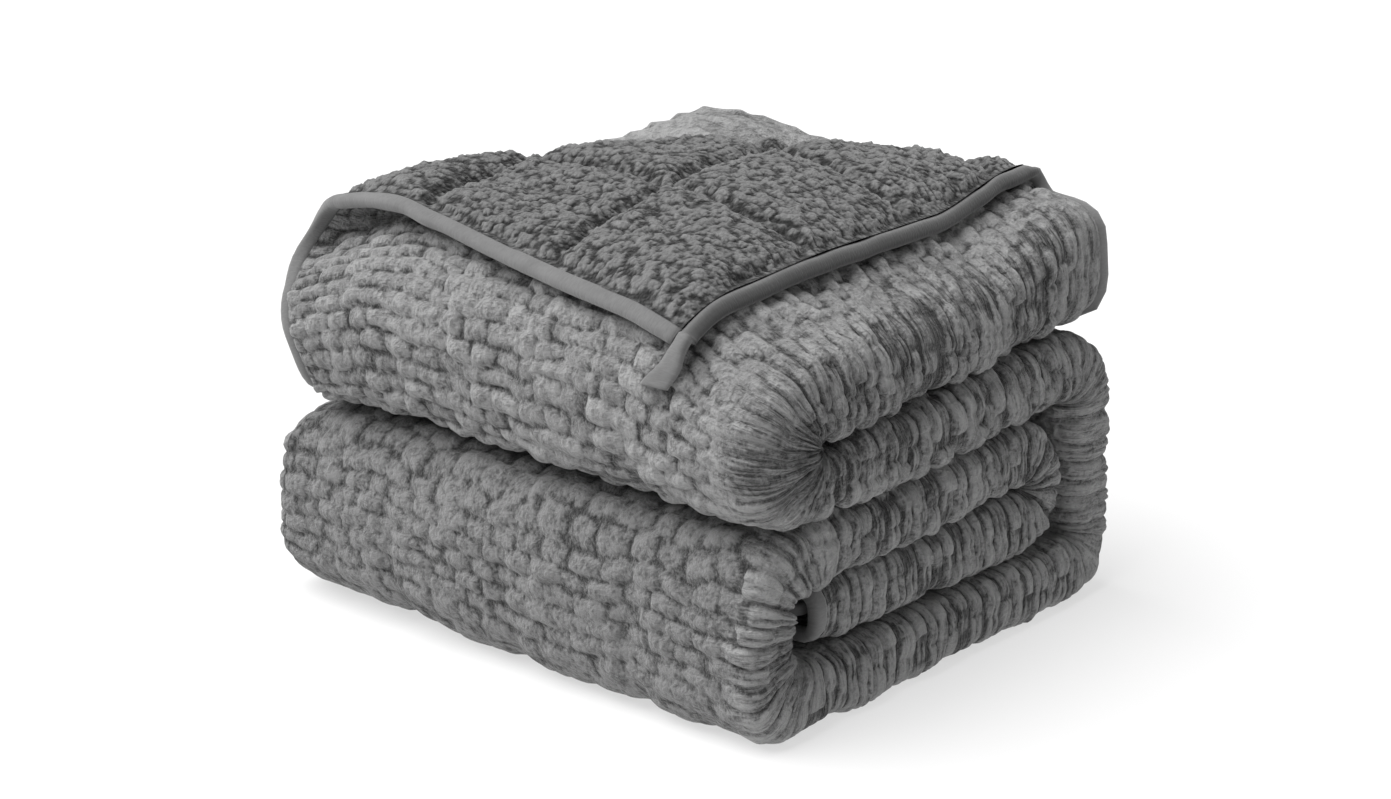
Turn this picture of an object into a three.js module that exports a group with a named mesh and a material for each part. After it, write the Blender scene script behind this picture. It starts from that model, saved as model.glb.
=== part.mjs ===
// A folded weighted blanket, in millimetres, +Z up.
//
// The blanket is folded in thirds along its length into a strip of three plies, and the strip is
// laid back and forth in five layers. The free corner of the top ply is turned over, so that the
// sherpa back shows. The origin is on the surface that the bundle lies on, at the middle of the box.
// +X points from the left-hand end to the near corner, +Y from the near corner to the far one.

import * as THREE from 'three';

// The blanket laid flat: quilted squares, and the thickness of each panel with its pile and filling.
const CELL = 127;
const FLAT_WIDTH = 12 * CELL;
const FLAT_LENGTH = 16 * CELL;
const PANEL = 7.8;
const SEAM_GAP = 0.4;
const HALF_PLY = PANEL + SEAM_GAP / 2;
const PLY_PITCH = 17.5;

// The sewn lines press the panels together, and the rim is pressed by the binding.
const GROOVE_DEPTH = 3;
const GROOVE_WIDTH = 20;
const RIM_DEPTH = 3.8;
const RIM_WIDTH = 16;

// The five layers of the strip, from the floor up, and where its folds lie.
const LAYER_PITCH = 53;
const STRIP_HALF = PLY_PITCH;
const FLOOR_LAYER_Z = STRIP_HALF + HALF_PLY;
const TOP_HALF = 36;
const LAYER_Z = [0, 1, 2, 3].map((layer) => FLOOR_LAYER_Z + layer * LAYER_PITCH);
const TOP_LAYER_Z = LAYER_Z[3] + STRIP_HALF + PLY_PITCH + TOP_HALF;
const NEAR_UPPER_Y = -152;
const NEAR_LOWER_Y = -141;
const FAR_WALL_Y = 158;
const INNER_FOLD_Y = 112;
const TOP_END_Y = 200;
const FAR_RISE = 6;
const INNER_END_Y = -130;
const WALL_RADIUS = 34.5;

// How square the weight makes the wide turns, from which radius on, and the folds at the side.
const SQUARE_POWER = 4.5;
const SQUARE_FROM = 15;
const SQUARE_WIDTH = 45;
const SIDE_POWER = 3;

// Across the strip: the first ply's free edge, and the outermost points of the two side folds.
const FREE_EDGE_X = -230;
const LEFT_X = -252;
const HIDDEN_EDGE_GAP = 7;

// The turned-over corner: where it lands, the slope of its fold line, and how round the fold is.
const TURN_ORIGIN = { x: -33, y: -9 };
const TURN_ANGLE = THREE.MathUtils.degToRad(44.9);
const TURN_RADIUS = { left: 24, right: 10, from: 60, width: 240 };
const TURN_PITCH = 19;
const TURN_SETTLE = 80;
const TURN_STEPS = 6;

// The free corner is pulled out a little, and the end of the first ply bows out beside it.
const CORNER_PULL = { x: 12, y: 4 };
const END_BOW = 12;

// The binding: its width beyond the rim, its thickness, and the tail at the turned-over corner.
const BINDING_GAP = 1.3;
const BINDING_WIDTH = 10;
const BINDING_THICK = 10;
const TAIL_LENGTH = 32;
const TAIL_LEAN = 12;
const TAIL_WIDTH = 24;
const TAIL_THICK = 5;
const TAIL_CLEARANCE = 2;

// How short the steps are that find a direction on the cloth, and what counts as no distance.
const SHORT_STEP = 0.25;
const TINY = 1e-6;

// The middle of a turn moves and widens with the ply: -1 is the strip's third ply, +1 its first.
const upperRadius = (TOP_LAYER_Z - LAYER_Z[3]) / 2;
const upperSpread = (TOP_HALF + STRIP_HALF) / 2;
const upperShift = (TOP_HALF - STRIP_HALF) / 2;

// Each stretch of the strip, from its end on top to its end in the middle of the bundle. A turn
// has its middle, its radius at the second ply, how both change with the ply, and its angles.
// length is the cloth that the stretch takes up, steps how finely it is divided, and side where
// its outer fold reaches in X. A run between two turns passes from one turn's side to the next.
const STRETCHES = [
  { name: 'top layer', length: 357, steps: 0, side: 242 },
  {
    name: 'near upper turn', length: 127, steps: 8, side: 248, y: NEAR_UPPER_Y,
    z: (TOP_LAYER_Z + LAYER_Z[3]) / 2, zPerPly: upperShift,
    radius: upperRadius, radiusPerPly: upperSpread, from: 90, to: 270, squareTop: 0.15, squareFoot: 0.6,
  },
  { name: 'fourth layer', length: 306, steps: 0 },
  {
    name: 'far upper corner', length: 56, steps: 3, side: 244, y: FAR_WALL_Y,
    z: LAYER_Z[3] + FAR_RISE - WALL_RADIUS, zPerPly: 0,
    radius: WALL_RADIUS, radiusPerPly: -STRIP_HALF, from: 90, to: 0, squareTop: 0.4,
  },
  { name: 'far wall', length: 92, steps: 1 },
  {
    name: 'far lower corner', length: 56, steps: 3, side: 244, y: FAR_WALL_Y,
    z: LAYER_Z[0] + WALL_RADIUS, zPerPly: 0,
    radius: WALL_RADIUS, radiusPerPly: -STRIP_HALF, from: 0, to: -90, squareFoot: 1,
  },
  { name: 'floor layer', length: 290, steps: 0 },
  {
    name: 'near lower turn', length: 170, steps: 8, side: 243, y: NEAR_LOWER_Y,
    z: (LAYER_Z[0] + LAYER_Z[2]) / 2, zPerPly: 0,
    radius: LAYER_PITCH, radiusPerPly: -STRIP_HALF, from: 270, to: 90, squareTop: 0.8, squareFoot: 1,
  },
  { name: 'third layer', length: 244, steps: 0 },
  {
    name: 'inner turn', length: 84, steps: 5, side: 234, y: INNER_FOLD_Y,
    z: (LAYER_Z[1] + LAYER_Z[2]) / 2, zPerPly: 0,
    radius: LAYER_PITCH / 2, radiusPerPly: -STRIP_HALF, from: 90, to: -90,
  },
  { name: 'second layer', length: 250, steps: 0, side: 232 },
];

// Across the strip, from the free edge of the first ply to the hidden edge of the middle one.
const PLIES = [
  { name: 'first ply', length: 482, steps: 0, cell: CELL / 2 },
  { name: 'right fold', length: 56, steps: 5, cell: CELL },
  { name: 'third ply', length: 476, steps: 0, cell: CELL / 2 },
  { name: 'left fold', length: 28, steps: 4, cell: CELL },
  { name: 'middle ply', length: 482, steps: 0, cell: CELL },
];

function clamp01(value) {
  return Math.min(1, Math.max(0, value));
}

function smooth(value) {
  const t = clamp01(value);
  return t * t * (3 - 2 * t);
}

function mix(a, b, t) {
  return a + (b - a) * t;
}

// Sets where each row starts, scaled so that the rows take up the whole flat length.
function layOut(rows, total) {
  const sum = rows.reduce((length, row) => length + row.length, 0);
  let start = 0;
  for (const row of rows) {
    row.start = start;
    row.length *= total / sum;
    start += row.length;
  }
  return rows;
}

layOut(STRETCHES, FLAT_LENGTH);
layOut(PLIES, FLAT_WIDTH);

// The row that holds a distance along the rows, and the share of the row that lies before it.
function locate(rows, distance) {
  let index = rows.findIndex((row) => distance < row.start + row.length);
  if (index < 0) {
    index = rows.length - 1;
  }
  return { index, row: rows[index], share: (distance - rows[index].start) / rows[index].length };
}

// How far a squared-off round reaches, for a round of radius 1, at an angle from its first axis.
function squaredReach(angle, power) {
  const across = Math.abs(Math.cos(angle)) ** power;
  const up = Math.abs(Math.sin(angle)) ** power;
  return (across + up) ** (-1 / power);
}

// A point of a turn, for a ply between -1 and 1 and an angle in degrees from +Y towards +Z. The
// weight of the bundle squares off the wide turns, some more at their lower half.
function turnPoint(turn, ply, angle) {
  const radius = turn.radius + turn.radiusPerPly * ply;
  const a = THREE.MathUtils.degToRad(angle);
  const wide = clamp01((radius - SQUARE_FROM) / SQUARE_WIDTH);
  const squared = Math.sin(a) > 0 ? turn.squareTop : turn.squareFoot;
  const reach = radius * mix(1, squaredReach(a, SQUARE_POWER), wide * (squared ?? 0));
  return {
    y: turn.y + reach * Math.cos(a),
    z: turn.z + turn.zPerPly * ply + reach * Math.sin(a),
  };
}

// Where a ply lies in the YZ plane, at a share of a stretch.
function pathPoint(index, share, ply) {
  const stretch = STRETCHES[index];
  if (stretch.radius) {
    return turnPoint(stretch, ply, mix(stretch.from, stretch.to, share));
  }
  const before = STRETCHES[index - 1];
  const after = STRETCHES[index + 1];
  const topEnd = { y: TOP_END_Y, z: TOP_LAYER_Z + FAR_RISE + TOP_HALF * ply };
  const start = before ? turnPoint(before, ply, before.to) : topEnd;
  let end = { y: INNER_END_Y, z: LAYER_Z[1] + STRIP_HALF * ply };
  if (after) {
    end = turnPoint(after, ply, after.from);
  }
  return { y: mix(start.y, end.y, share), z: mix(start.z, end.z, share) };
}

// Half the height of the strip: it is loose in the top layer, and closes up through its turn.
function halfHeight(index, share) {
  if (index > 1) {
    return STRIP_HALF;
  }
  const angle = index === 0 ? 0 : Math.PI * share;
  return upperSpread + upperShift * Math.cos(angle);
}

// Where the middle of the outer fold's bend lies in X.
function foldPlace(index, share) {
  const stretch = STRETCHES[index];
  const before = stretch.radius ? stretch : STRETCHES[index - 1] ?? stretch;
  const after = stretch.radius ? stretch : STRETCHES[index + 1] ?? stretch;
  return mix(before.side, after.side, smooth(share)) - HALF_PLY - halfHeight(index, share);
}

// The crown of the top layer: a parabola across, less a soft step near by and a parabola far off.
const CROWN = {
  height: 37, middleX: -25, halfWidth: 250,
  nearFall: 0.62, nearY: -50, nearDepth: 130,
  farFall: 0.6, farY: 20, farDepth: 180,
};

function crownAcross(x) {
  return Math.max(0, 1 - ((x - CROWN.middleX) / CROWN.halfWidth) ** 2);
}

function dome(x, y) {
  const near = CROWN.nearFall * smooth((CROWN.nearY - y) / CROWN.nearDepth);
  const far = CROWN.farFall * (Math.max(0, y - CROWN.farY) / CROWN.farDepth) ** 2;
  return CROWN.height * crownAcross(x) * (1 - near - far);
}

// What makes the top layer uneven: its left edge sinks and its right side slopes, its far right
// corner is lifted and the end there curls up, and it humps up behind the turned-over corner.
const LEFT_SINK = { depth: 38, from: 120, width: 130 };
const SLOPE = { depth: 22, fromX: 105, width: 130, fromY: 60, easeOver: 120, ease: 0.9 };
const CORNER_LIFT = { height: 5, fromX: 60, width: 100, fromY: 60, depth: 100 };
const END_CURL = { height: 5, fromX: 120, width: 110, fromY: 130, depth: 70 };
const HUMP = { height: 14, along: 54, width: 76, from: 30, rise: 50 };

function cornerStep(corner, x, y) {
  return smooth((x - corner.fromX) / corner.width) * smooth((y - corner.fromY) / corner.depth);
}

function unevenness(x, y) {
  const left = smooth((-x - LEFT_SINK.from) / LEFT_SINK.width);
  const eased = 1 - SLOPE.ease * smooth((y - SLOPE.fromY) / SLOPE.easeOver);
  const right = smooth((x - SLOPE.fromX) / SLOPE.width) * eased;
  const { beyond, along } = fromTurn(x, y);
  const hump = smooth(1 - Math.abs(along - HUMP.along) / HUMP.width)
    * smooth((beyond - HUMP.from) / HUMP.rise);
  const raised = CORNER_LIFT.height * cornerStep(CORNER_LIFT, x, y)
    + END_CURL.height * cornerStep(END_CURL, x, y) + HUMP.height * hump;
  return raised - LEFT_SINK.depth * left - SLOPE.depth * right;
}

// How much of the crown is left in the top turn, and how much of it the layers below take up.
function turnShare(share) {
  return (1 + Math.cos(Math.PI * share)) / 2;
}

const INNER_CROWN = { 'fourth layer': 23, 'third layer': 15.6, 'second layer': 7.8 };

// How far a place is lifted by the crown. In the top layer, upper says how much the ply takes of
// the unevenness: all above the third ply, and none at that ply.
function lift(index, share, x, y, upper) {
  if (index < 2) {
    const uneven = unevenness(x, y) * upper;
    return (dome(x, y) + uneven) * (index === 0 ? 1 : turnShare(share));
  }
  const along = Math.sin(Math.PI * share) ** 2;
  return (INNER_CROWN[STRETCHES[index].name] ?? 0) * crownAcross(x) * along;
}

// Distance from the fold line of the turned-over corner, positive on the side that turns over,
// and the distance along the line, from its left-hand end to its right-hand one.
function fromTurn(x, y) {
  const dx = x - TURN_ORIGIN.x;
  const dy = y - TURN_ORIGIN.y;
  return {
    beyond: -dx * Math.sin(TURN_ANGLE) + dy * Math.cos(TURN_ANGLE),
    along: dx * Math.cos(TURN_ANGLE) + dy * Math.sin(TURN_ANGLE),
  };
}

function turnRadius(along) {
  const left = smooth((-along - TURN_RADIUS.from) / TURN_RADIUS.width);
  return mix(TURN_RADIUS.right, TURN_RADIUS.left, left);
}

// The middle ply swells into the place that the turned-over corner has left.
const SWELL = { ply: 1.1, from: 52, width: 75, frontY: -150, frontWidth: 90 };

function swell(x, y) {
  const { beyond } = fromTurn(x, y);
  return smooth((beyond - SWELL.from) / SWELL.width) * smooth((y - SWELL.frontY) / SWELL.frontWidth);
}

// The middle of the first ply, from its place across the strip and its distance in cloth from the
// far end: level in the top layer, then round the near upper turn.
const upperTurn = STRETCHES[1];
const firstPlyRadius = upperTurn.radius + upperTurn.radiusPerPly;

function firstPly(x, flatY) {
  const angle = clamp01((NEAR_UPPER_Y - flatY) / (firstPlyRadius * Math.PI)) * 180;
  const point = turnPoint(upperTurn, 1, 90 + angle);
  const y = flatY > NEAR_UPPER_Y ? flatY : point.y;
  const rise = (FAR_RISE * Math.max(0, flatY - NEAR_UPPER_Y)) / (TOP_END_Y - NEAR_UPPER_Y);
  const lifted = (dome(x, y) + unevenness(x, y)) * turnShare(angle / 180);
  return new THREE.Vector3(x, y, point.z + rise + lifted);
}

// The outward normal of the first ply, from two short steps on it.
function firstPlyNormal(x, flatY) {
  const across = firstPly(x + SHORT_STEP, flatY).sub(firstPly(x - SHORT_STEP, flatY));
  const along = firstPly(x, flatY + SHORT_STEP).sub(firstPly(x, flatY - SHORT_STEP));
  return across.cross(along).normalize();
}

// Where the first ply comes to lie once its corner is turned over: the place of the cloth below
// it, and its height over that cloth. It goes round the fold, then back over the ply itself.
function turnOver(x, flatY) {
  const { beyond, along } = fromTurn(x, flatY);
  if (beyond <= 0) {
    return { x, y: flatY, height: 0 };
  }
  const radius = turnRadius(along);
  const arc = Math.PI * radius;
  let offset = -(beyond - arc);
  let height = TURN_PITCH + (2 * radius - TURN_PITCH) * Math.exp(-(beyond - arc) / TURN_SETTLE);
  if (beyond < arc) {
    offset = radius * Math.sin(beyond / radius);
    height = radius * (1 - Math.cos(beyond / radius));
  }
  const move = offset - beyond;
  return { x: x - move * Math.sin(TURN_ANGLE), y: flatY + move * Math.cos(TURN_ANGLE), height };
}

function overFirstPly({ x, y, height }) {
  return firstPly(x, y).addScaledVector(firstPlyNormal(x, y), height);
}

// The distance in cloth from the top layer's end, as the Y at which it would lie if laid level.
function levelY(index, share) {
  return index === 0
    ? mix(TOP_END_Y, NEAR_UPPER_Y, share)
    : NEAR_UPPER_Y - firstPlyRadius * Math.PI * share;
}

// Where the first ply would lie if it were level, at a share of it from its free edge: the pull
// at its free corner fades to its other edges, and the bow of its end is a parabola.
function firstPlyPlace(index, share, across) {
  const pull = index === 0 ? (1 - across) * (1 - share) : 0;
  return {
    x: mix(FREE_EDGE_X, foldPlace(index, share), across) - CORNER_PULL.x * pull,
    y: levelY(index, share) + (CORNER_PULL.y + 4 * END_BOW * across) * pull,
  };
}

// The middle of the cloth at u across and v along the flat blanket.
function clothPoint(u, v) {
  const along = locate(STRETCHES, v);
  const across = locate(PLIES, u);
  const half = halfHeight(along.index, along.share);
  const foldX = foldPlace(along.index, along.share);
  if (across.index === 0) {
    const { x, y } = firstPlyPlace(along.index, along.share, across.share);
    if (along.index < 2) {
      return overFirstPly(turnOver(x, y));
    }
    const place = pathPoint(along.index, along.share, 1);
    return new THREE.Vector3(x, place.y, place.z + lift(along.index, along.share, x, place.y, 1));
  }
  const middle = 1 - PLY_PITCH / half;
  const edgeY = pathPoint(along.index, along.share, middle).y;
  const rises = along.index === 0;
  const leftPly = rises ? mix(middle, SWELL.ply, swell(LEFT_X + half, edgeY)) : middle;
  const leftHalf = (half * (leftPly + 1)) / 2;
  const leftX = LEFT_X + HALF_PLY + leftHalf;
  const angle = Math.PI * across.share;
  const reach = squaredReach(angle, SIDE_POWER);
  let x = foldX + half * reach * Math.sin(angle);
  let ply = reach * Math.cos(angle);
  if (across.index === 2) {
    x = mix(foldX, leftX, across.share);
    ply = -1;
  }
  if (across.index === 3) {
    x = leftX - leftHalf * Math.sin(angle);
    ply = -1 + (leftPly + 1) * (1 - Math.cos(angle)) / 2;
  }
  if (across.index === 4) {
    x = mix(leftX, foldX - HIDDEN_EDGE_GAP, across.share);
    ply = rises ? mix(middle, SWELL.ply, swell(x + LEFT_X + half - leftX, edgeY)) : middle;
  }
  const place = pathPoint(along.index, along.share, ply);
  const upper = clamp01((ply + 1) / (middle + 1));
  return new THREE.Vector3(x, place.y, place.z + lift(along.index, along.share, x, place.y, upper));
}

// The normal on the plush side, from short steps in the cloth, kept inside its rim.
function clothNormal(u, v) {
  const u0 = Math.max(0, u - SHORT_STEP);
  const u1 = Math.min(FLAT_WIDTH, u + SHORT_STEP);
  const v0 = Math.max(0, v - SHORT_STEP);
  const v1 = Math.min(FLAT_LENGTH, v + SHORT_STEP);
  const across = clothPoint(u1, v).sub(clothPoint(u0, v));
  const along = clothPoint(u, v1).sub(clothPoint(u, v0));
  return along.cross(across).normalize();
}

// How thick one panel is: thinner at each sewn line and at the rim.
function panelThickness(u, v) {
  const toLine = (distance) => Math.abs(distance - CELL * Math.round(distance / CELL));
  const line = Math.min(toLine(u), toLine(v));
  const rim = Math.min(u, v, FLAT_WIDTH - u, FLAT_LENGTH - v);
  const groove = GROOVE_DEPTH * (1 - smooth(line / GROOVE_WIDTH));
  const pressed = RIM_DEPTH * (1 - smooth(rim / RIM_WIDTH));
  return PANEL - Math.max(groove, pressed);
}

// The lines of the grid: the ends of each row, its steps, and the sewn lines that it crosses. A
// line that would lie too near another is left out.
const ROW_LINES_APART = 0.01;
const SEWN_LINES_APART = 9;

function gridLines(rows, total, cellOf) {
  const lines = [0, total];
  const add = (distance, apart) => {
    if (lines.every((line) => Math.abs(line - distance) > apart)) {
      lines.push(distance);
    }
  };
  for (const row of rows) {
    add(row.start, ROW_LINES_APART);
    for (let step = 1; step < row.steps; step += 1) {
      add(row.start + (row.length * step) / row.steps, ROW_LINES_APART);
    }
  }
  for (const row of rows) {
    const cell = cellOf(row);
    for (let distance = cell; distance < total; distance += cell) {
      if (distance > row.start && distance < row.start + row.length && !row.steps) {
        add(distance, SEWN_LINES_APART);
      }
    }
  }
  add(RIM_WIDTH, SEWN_LINES_APART);
  add(total - RIM_WIDTH, SEWN_LINES_APART);
  return lines.sort((a, b) => a - b);
}

// Cuts a polygon of the flat cloth where a level function passes through zero.
const SMALLEST_AREA = 1e-3;
const HALVINGS = 40;

function cutPolygon(polygon, level) {
  const below = [];
  const above = [];
  polygon.forEach((point, i) => {
    const next = polygon[(i + 1) % polygon.length];
    const here = level(point);
    const there = level(next);
    if (here <= 0) {
      below.push(point);
    }
    if (here >= 0) {
      above.push(point);
    }
    if (here * there < 0) {
      const crossing = findCrossing(point, next, level);
      below.push(crossing);
      above.push(crossing);
    }
  });
  return [below, above].filter((piece) => piece.length > 2 && polygonArea(piece) > SMALLEST_AREA);
}

// Halves the edge between two points until it is at the level, always from the same end.
function findCrossing(a, b, level) {
  const swap = a.u > b.u || (a.u === b.u && a.v > b.v);
  let low = swap ? b : a;
  let high = swap ? a : b;
  const sign = Math.sign(level(low));
  for (let i = 0; i < HALVINGS; i += 1) {
    const middle = { u: (low.u + high.u) / 2, v: (low.v + high.v) / 2 };
    if (Math.sign(level(middle)) === sign) {
      low = middle;
    } else {
      high = middle;
    }
  }
  return high;
}

function polygonArea(polygon) {
  let area = 0;
  polygon.forEach((point, i) => {
    const next = polygon[(i + 1) % polygon.length];
    area += (point.u * next.v - next.u * point.v) / 2;
  });
  return Math.abs(area);
}

// Levels that follow the turned-over corner's fold, and those where it bends over the near turn.
const upperEnd = STRETCHES[1].start + STRETCHES[1].length;
const firstEnd = PLIES[0].start + PLIES[0].length;
const BEND_LEVELS = [3, 14, 28, 46];
const NOT_TURNED = -1;

function flatPlace({ u, v }) {
  const along = locate(STRETCHES, Math.min(v, upperEnd - TINY));
  const across = locate(PLIES, Math.min(u, firstEnd - TINY));
  return firstPlyPlace(along.index, along.share, across.share);
}

function foldLevels() {
  const levels = [];
  for (let step = 0; step <= TURN_STEPS; step += 1) {
    levels.push((point) => {
      const place = flatPlace(point);
      const { beyond, along } = fromTurn(place.x, place.y);
      return beyond - (Math.PI * turnRadius(along) * step) / TURN_STEPS;
    });
  }
  for (const depth of BEND_LEVELS) {
    levels.push((point) => {
      const place = flatPlace(point);
      const { beyond, along } = fromTurn(place.x, place.y);
      const back = beyond - Math.PI * turnRadius(along);
      return back > 0 ? NEAR_UPPER_Y - depth - turnOver(place.x, place.y).y : NOT_TURNED;
    });
  }
  return levels;
}

// The flat blanket cut into triangles, with shared vertices, and its rim as one closed round.
function flatMesh() {
  const us = gridLines(PLIES, FLAT_WIDTH, (row) => row.cell);
  const vs = gridLines(STRETCHES, FLAT_LENGTH, (row) => (row.name === 'top layer' ? CELL / 2 : CELL));
  const levels = foldLevels();
  const points = [];
  const found = new Map();
  const triangles = [];
  const indexOf = (point) => {
    const key = `${point.u.toFixed(3)},${point.v.toFixed(3)}`;
    if (!found.has(key)) {
      found.set(key, points.length);
      points.push(point);
    }
    return found.get(key);
  };
  for (let i = 0; i + 1 < us.length; i += 1) {
    for (let j = 0; j + 1 < vs.length; j += 1) {
      let polygons = [[
        { u: us[i], v: vs[j] },
        { u: us[i + 1], v: vs[j] },
        { u: us[i + 1], v: vs[j + 1] },
        { u: us[i], v: vs[j + 1] },
      ]];
      if (us[i + 1] <= firstEnd + TINY && vs[j + 1] <= upperEnd + TINY) {
        for (const level of levels) {
          polygons = polygons.flatMap((polygon) => cutPolygon(polygon, level));
        }
      }
      for (const polygon of polygons) {
        const corners = polygon.map(indexOf).filter((corner, k, all) => corner !== all[(k + 1) % all.length]);
        for (let k = 1; k + 1 < corners.length; k += 1) {
          triangles.push([corners[0], corners[k], corners[k + 1]]);
        }
      }
    }
  }
  const corner = points.findIndex((point) => point.u === 0 && point.v === 0);
  return { points, triangles, rim: rimOf(triangles, corner) };
}

// The vertices round the rim from one of them on, in the order in which the triangles pass them.
function rimOf(triangles, first) {
  const edges = new Set();
  for (const triangle of triangles) {
    triangle.forEach((corner, k) => edges.add(`${corner},${triangle[(k + 1) % 3]}`));
  }
  const after = new Map();
  for (const edge of edges) {
    const [a, b] = edge.split(',').map(Number);
    if (!edges.has(`${b},${a}`)) {
      after.set(a, b);
    }
  }
  const rim = [first];
  for (let corner = after.get(first); corner !== first; corner = after.get(corner)) {
    rim.push(corner);
  }
  return rim;
}

function toGeometry(positions, faces) {
  const geometry = new THREE.BufferGeometry();
  geometry.setAttribute('position', new THREE.Float32BufferAttribute(positions.flat(), 3));
  geometry.setIndex(faces.flat());
  geometry.computeVertexNormals();
  return geometry;
}

// The whole bundle is uneven too. A slow waviness moves the stack of layers together, and dies out
// towards the floor. At the left the bundle is drawn in between its two halves and bulges above
// that, its far right shoulder is narrower, and its lower left edge is rounder.
const SWAY = { height: 3, upShare: 0.5, reachX: 88, reachY: 76, reachZ: 64, floorZ: 60 };
const NOTCH = { depth: 21, z: 179, height: 42, fromX: -120, width: 130, fromY: 60, reach: 200 };
const BULGE = { depth: 10, z: 268, height: 26 };
const SHOULDER = { depth: 6, z: 180, rise: 30, fromX: 130, width: 110, fromY: 20, reach: 150 };
const SHOULDER_ROUND = { depth: 3, z: 240, rise: 50 };
const FOOT = { depth: 10, height: 40, fromX: 50, width: 250, fromY: -110, reach: 70 };

// The middle of the bundle's box as its folds are laid out.
const CENTRE = { x: -2.68, y: -3.43 };

function leftDrawIn({ x, y, z }) {
  const share = smooth((NOTCH.fromX - x) / NOTCH.width) * smooth((NOTCH.fromY - y) / NOTCH.reach);
  const notch = NOTCH.depth * Math.exp(-(((z - NOTCH.z) / NOTCH.height) ** 2));
  const bulge = BULGE.depth * Math.exp(-(((z - BULGE.z) / BULGE.height) ** 2));
  return share * (notch - bulge);
}

function rightDrawIn({ x, y, z }) {
  const share = smooth((x - SHOULDER.fromX) / SHOULDER.width)
    * smooth((y - SHOULDER.fromY) / SHOULDER.reach);
  const straight = SHOULDER.depth * smooth((z - SHOULDER.z) / SHOULDER.rise);
  const round = SHOULDER_ROUND.depth * smooth((z - SHOULDER_ROUND.z) / SHOULDER_ROUND.rise);
  return share * (straight + round);
}

function footDrawIn({ x, y, z }) {
  const share = smooth((FOOT.fromX - x) / FOOT.width) * smooth((FOOT.fromY - y) / FOOT.reach);
  return share * FOOT.depth * (1 - smooth(z / FOOT.height));
}

function settle(point) {
  const free = SWAY.height * smooth(point.z / SWAY.floorZ);
  const across = Math.sin(point.y / SWAY.reachY + point.z / SWAY.reachZ);
  const along = Math.sin(point.x / SWAY.reachX - point.z / SWAY.reachZ);
  const up = SWAY.upShare * Math.sin(point.x / SWAY.reachY) * Math.cos(point.y / SWAY.reachX);
  return [
    point.x + free * across + leftDrawIn(point) - rightDrawIn(point) - CENTRE.x,
    point.y + free * along + footDrawIn(point) - CENTRE.y,
    point.z + free * up,
  ];
}

// A panel between two faces of the cloth, given as heights on the plush side.
function panelGeometry(mesh, places, plushSide) {
  const inner = [];
  const outer = [];
  mesh.points.forEach((point, i) => {
    const thick = panelThickness(point.u, point.v);
    const near = (plushSide ? 1 : -1) * (SEAM_GAP / 2);
    const far = (plushSide ? 1 : -1) * (SEAM_GAP / 2 + thick);
    inner.push(settle(places[i].point.clone().addScaledVector(places[i].normal, near)));
    outer.push(settle(places[i].point.clone().addScaledVector(places[i].normal, far)));
    if (plushSide && onFloor(point)) {
      outer[i][2] = 0;
    }
  });
  const count = mesh.points.length;
  const faces = [];
  const up = plushSide ? count : 0;
  const down = plushSide ? 0 : count;
  for (const [a, b, c] of mesh.triangles) {
    faces.push([a + up, c + up, b + up], [a + down, b + down, c + down]);
  }
  mesh.rim.forEach((a, k) => {
    const b = mesh.rim[(k + 1) % mesh.rim.length];
    faces.push([a + up, b + up, b + down], [a + up, b + down, a + down]);
  });
  return toGeometry([...inner, ...outer], faces);
}

// Whether a place of the cloth is on the underside of the floor layer, which lies flat.
function onFloor({ u, v }) {
  const along = locate(STRETCHES, v);
  const across = locate(PLIES, u);
  return along.row.name === 'floor layer' && across.row.name === 'third ply';
}

// A place on the rim for the binding's section: the rim itself, the way out of the cloth in its
// own plane, turned by a share of a right angle at a corner, and the normal on the plush side.
function rimPlace({ u, v }, outU, outV) {
  const normal = clothNormal(u, v);
  const inside = clothPoint(u - outU * SHORT_STEP, v - outV * SHORT_STEP);
  const point = clothPoint(u, v);
  const out = point.clone().sub(inside);
  out.addScaledVector(normal, -out.dot(normal)).normalize();
  return { point, out, normal, width: BINDING_WIDTH, thick: BINDING_THICK, start: BINDING_GAP };
}

// The binding's places: from the turned-over corner down the long edge, round the blanket, back
// along the end edge, and on past the corner as the tail.
function bindingPlaces(mesh) {
  const places = [];
  const round = [mesh.rim[0], ...[...mesh.rim].reverse()];
  const corners = round.map((index) => mesh.points[index]);
  corners.forEach((point, i) => {
    const atU = point.u === 0 || point.u === FLAT_WIDTH;
    const atV = point.v === 0 || point.v === FLAT_LENGTH;
    const outU = point.u === 0 ? -1 : 1;
    const outV = point.v === 0 ? -1 : 1;
    const first = i === 0;
    const last = i === corners.length - 1;
    const alongV = [outU, 0];
    const alongU = [0, outV];
    if (!atU || !atV) {
      places.push(rimPlace(point, ...(atU ? alongV : alongU)));
    } else if (first || last) {
      places.push(rimPlace(point, ...(first ? alongV : alongU)));
    } else {
      const fromEnd = point.u > 0 && point.v > 0;
      const [before, after] = fromEnd ? [alongU, alongV] : [alongV, alongU];
      [before, [outU, outV], after].forEach((way) => places.push(rimPlace(point, ...way)));
    }
  });
  return [...places, ...tailPlaces()];
}

// The tail lies on the first ply below the corner, and becomes wider and flatter than the binding.
// Its outer half is shifted so that it widens to both sides.
const TAIL_STEPS = 5;
const TAIL_SHIFT_FROM = 0.5;

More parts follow.
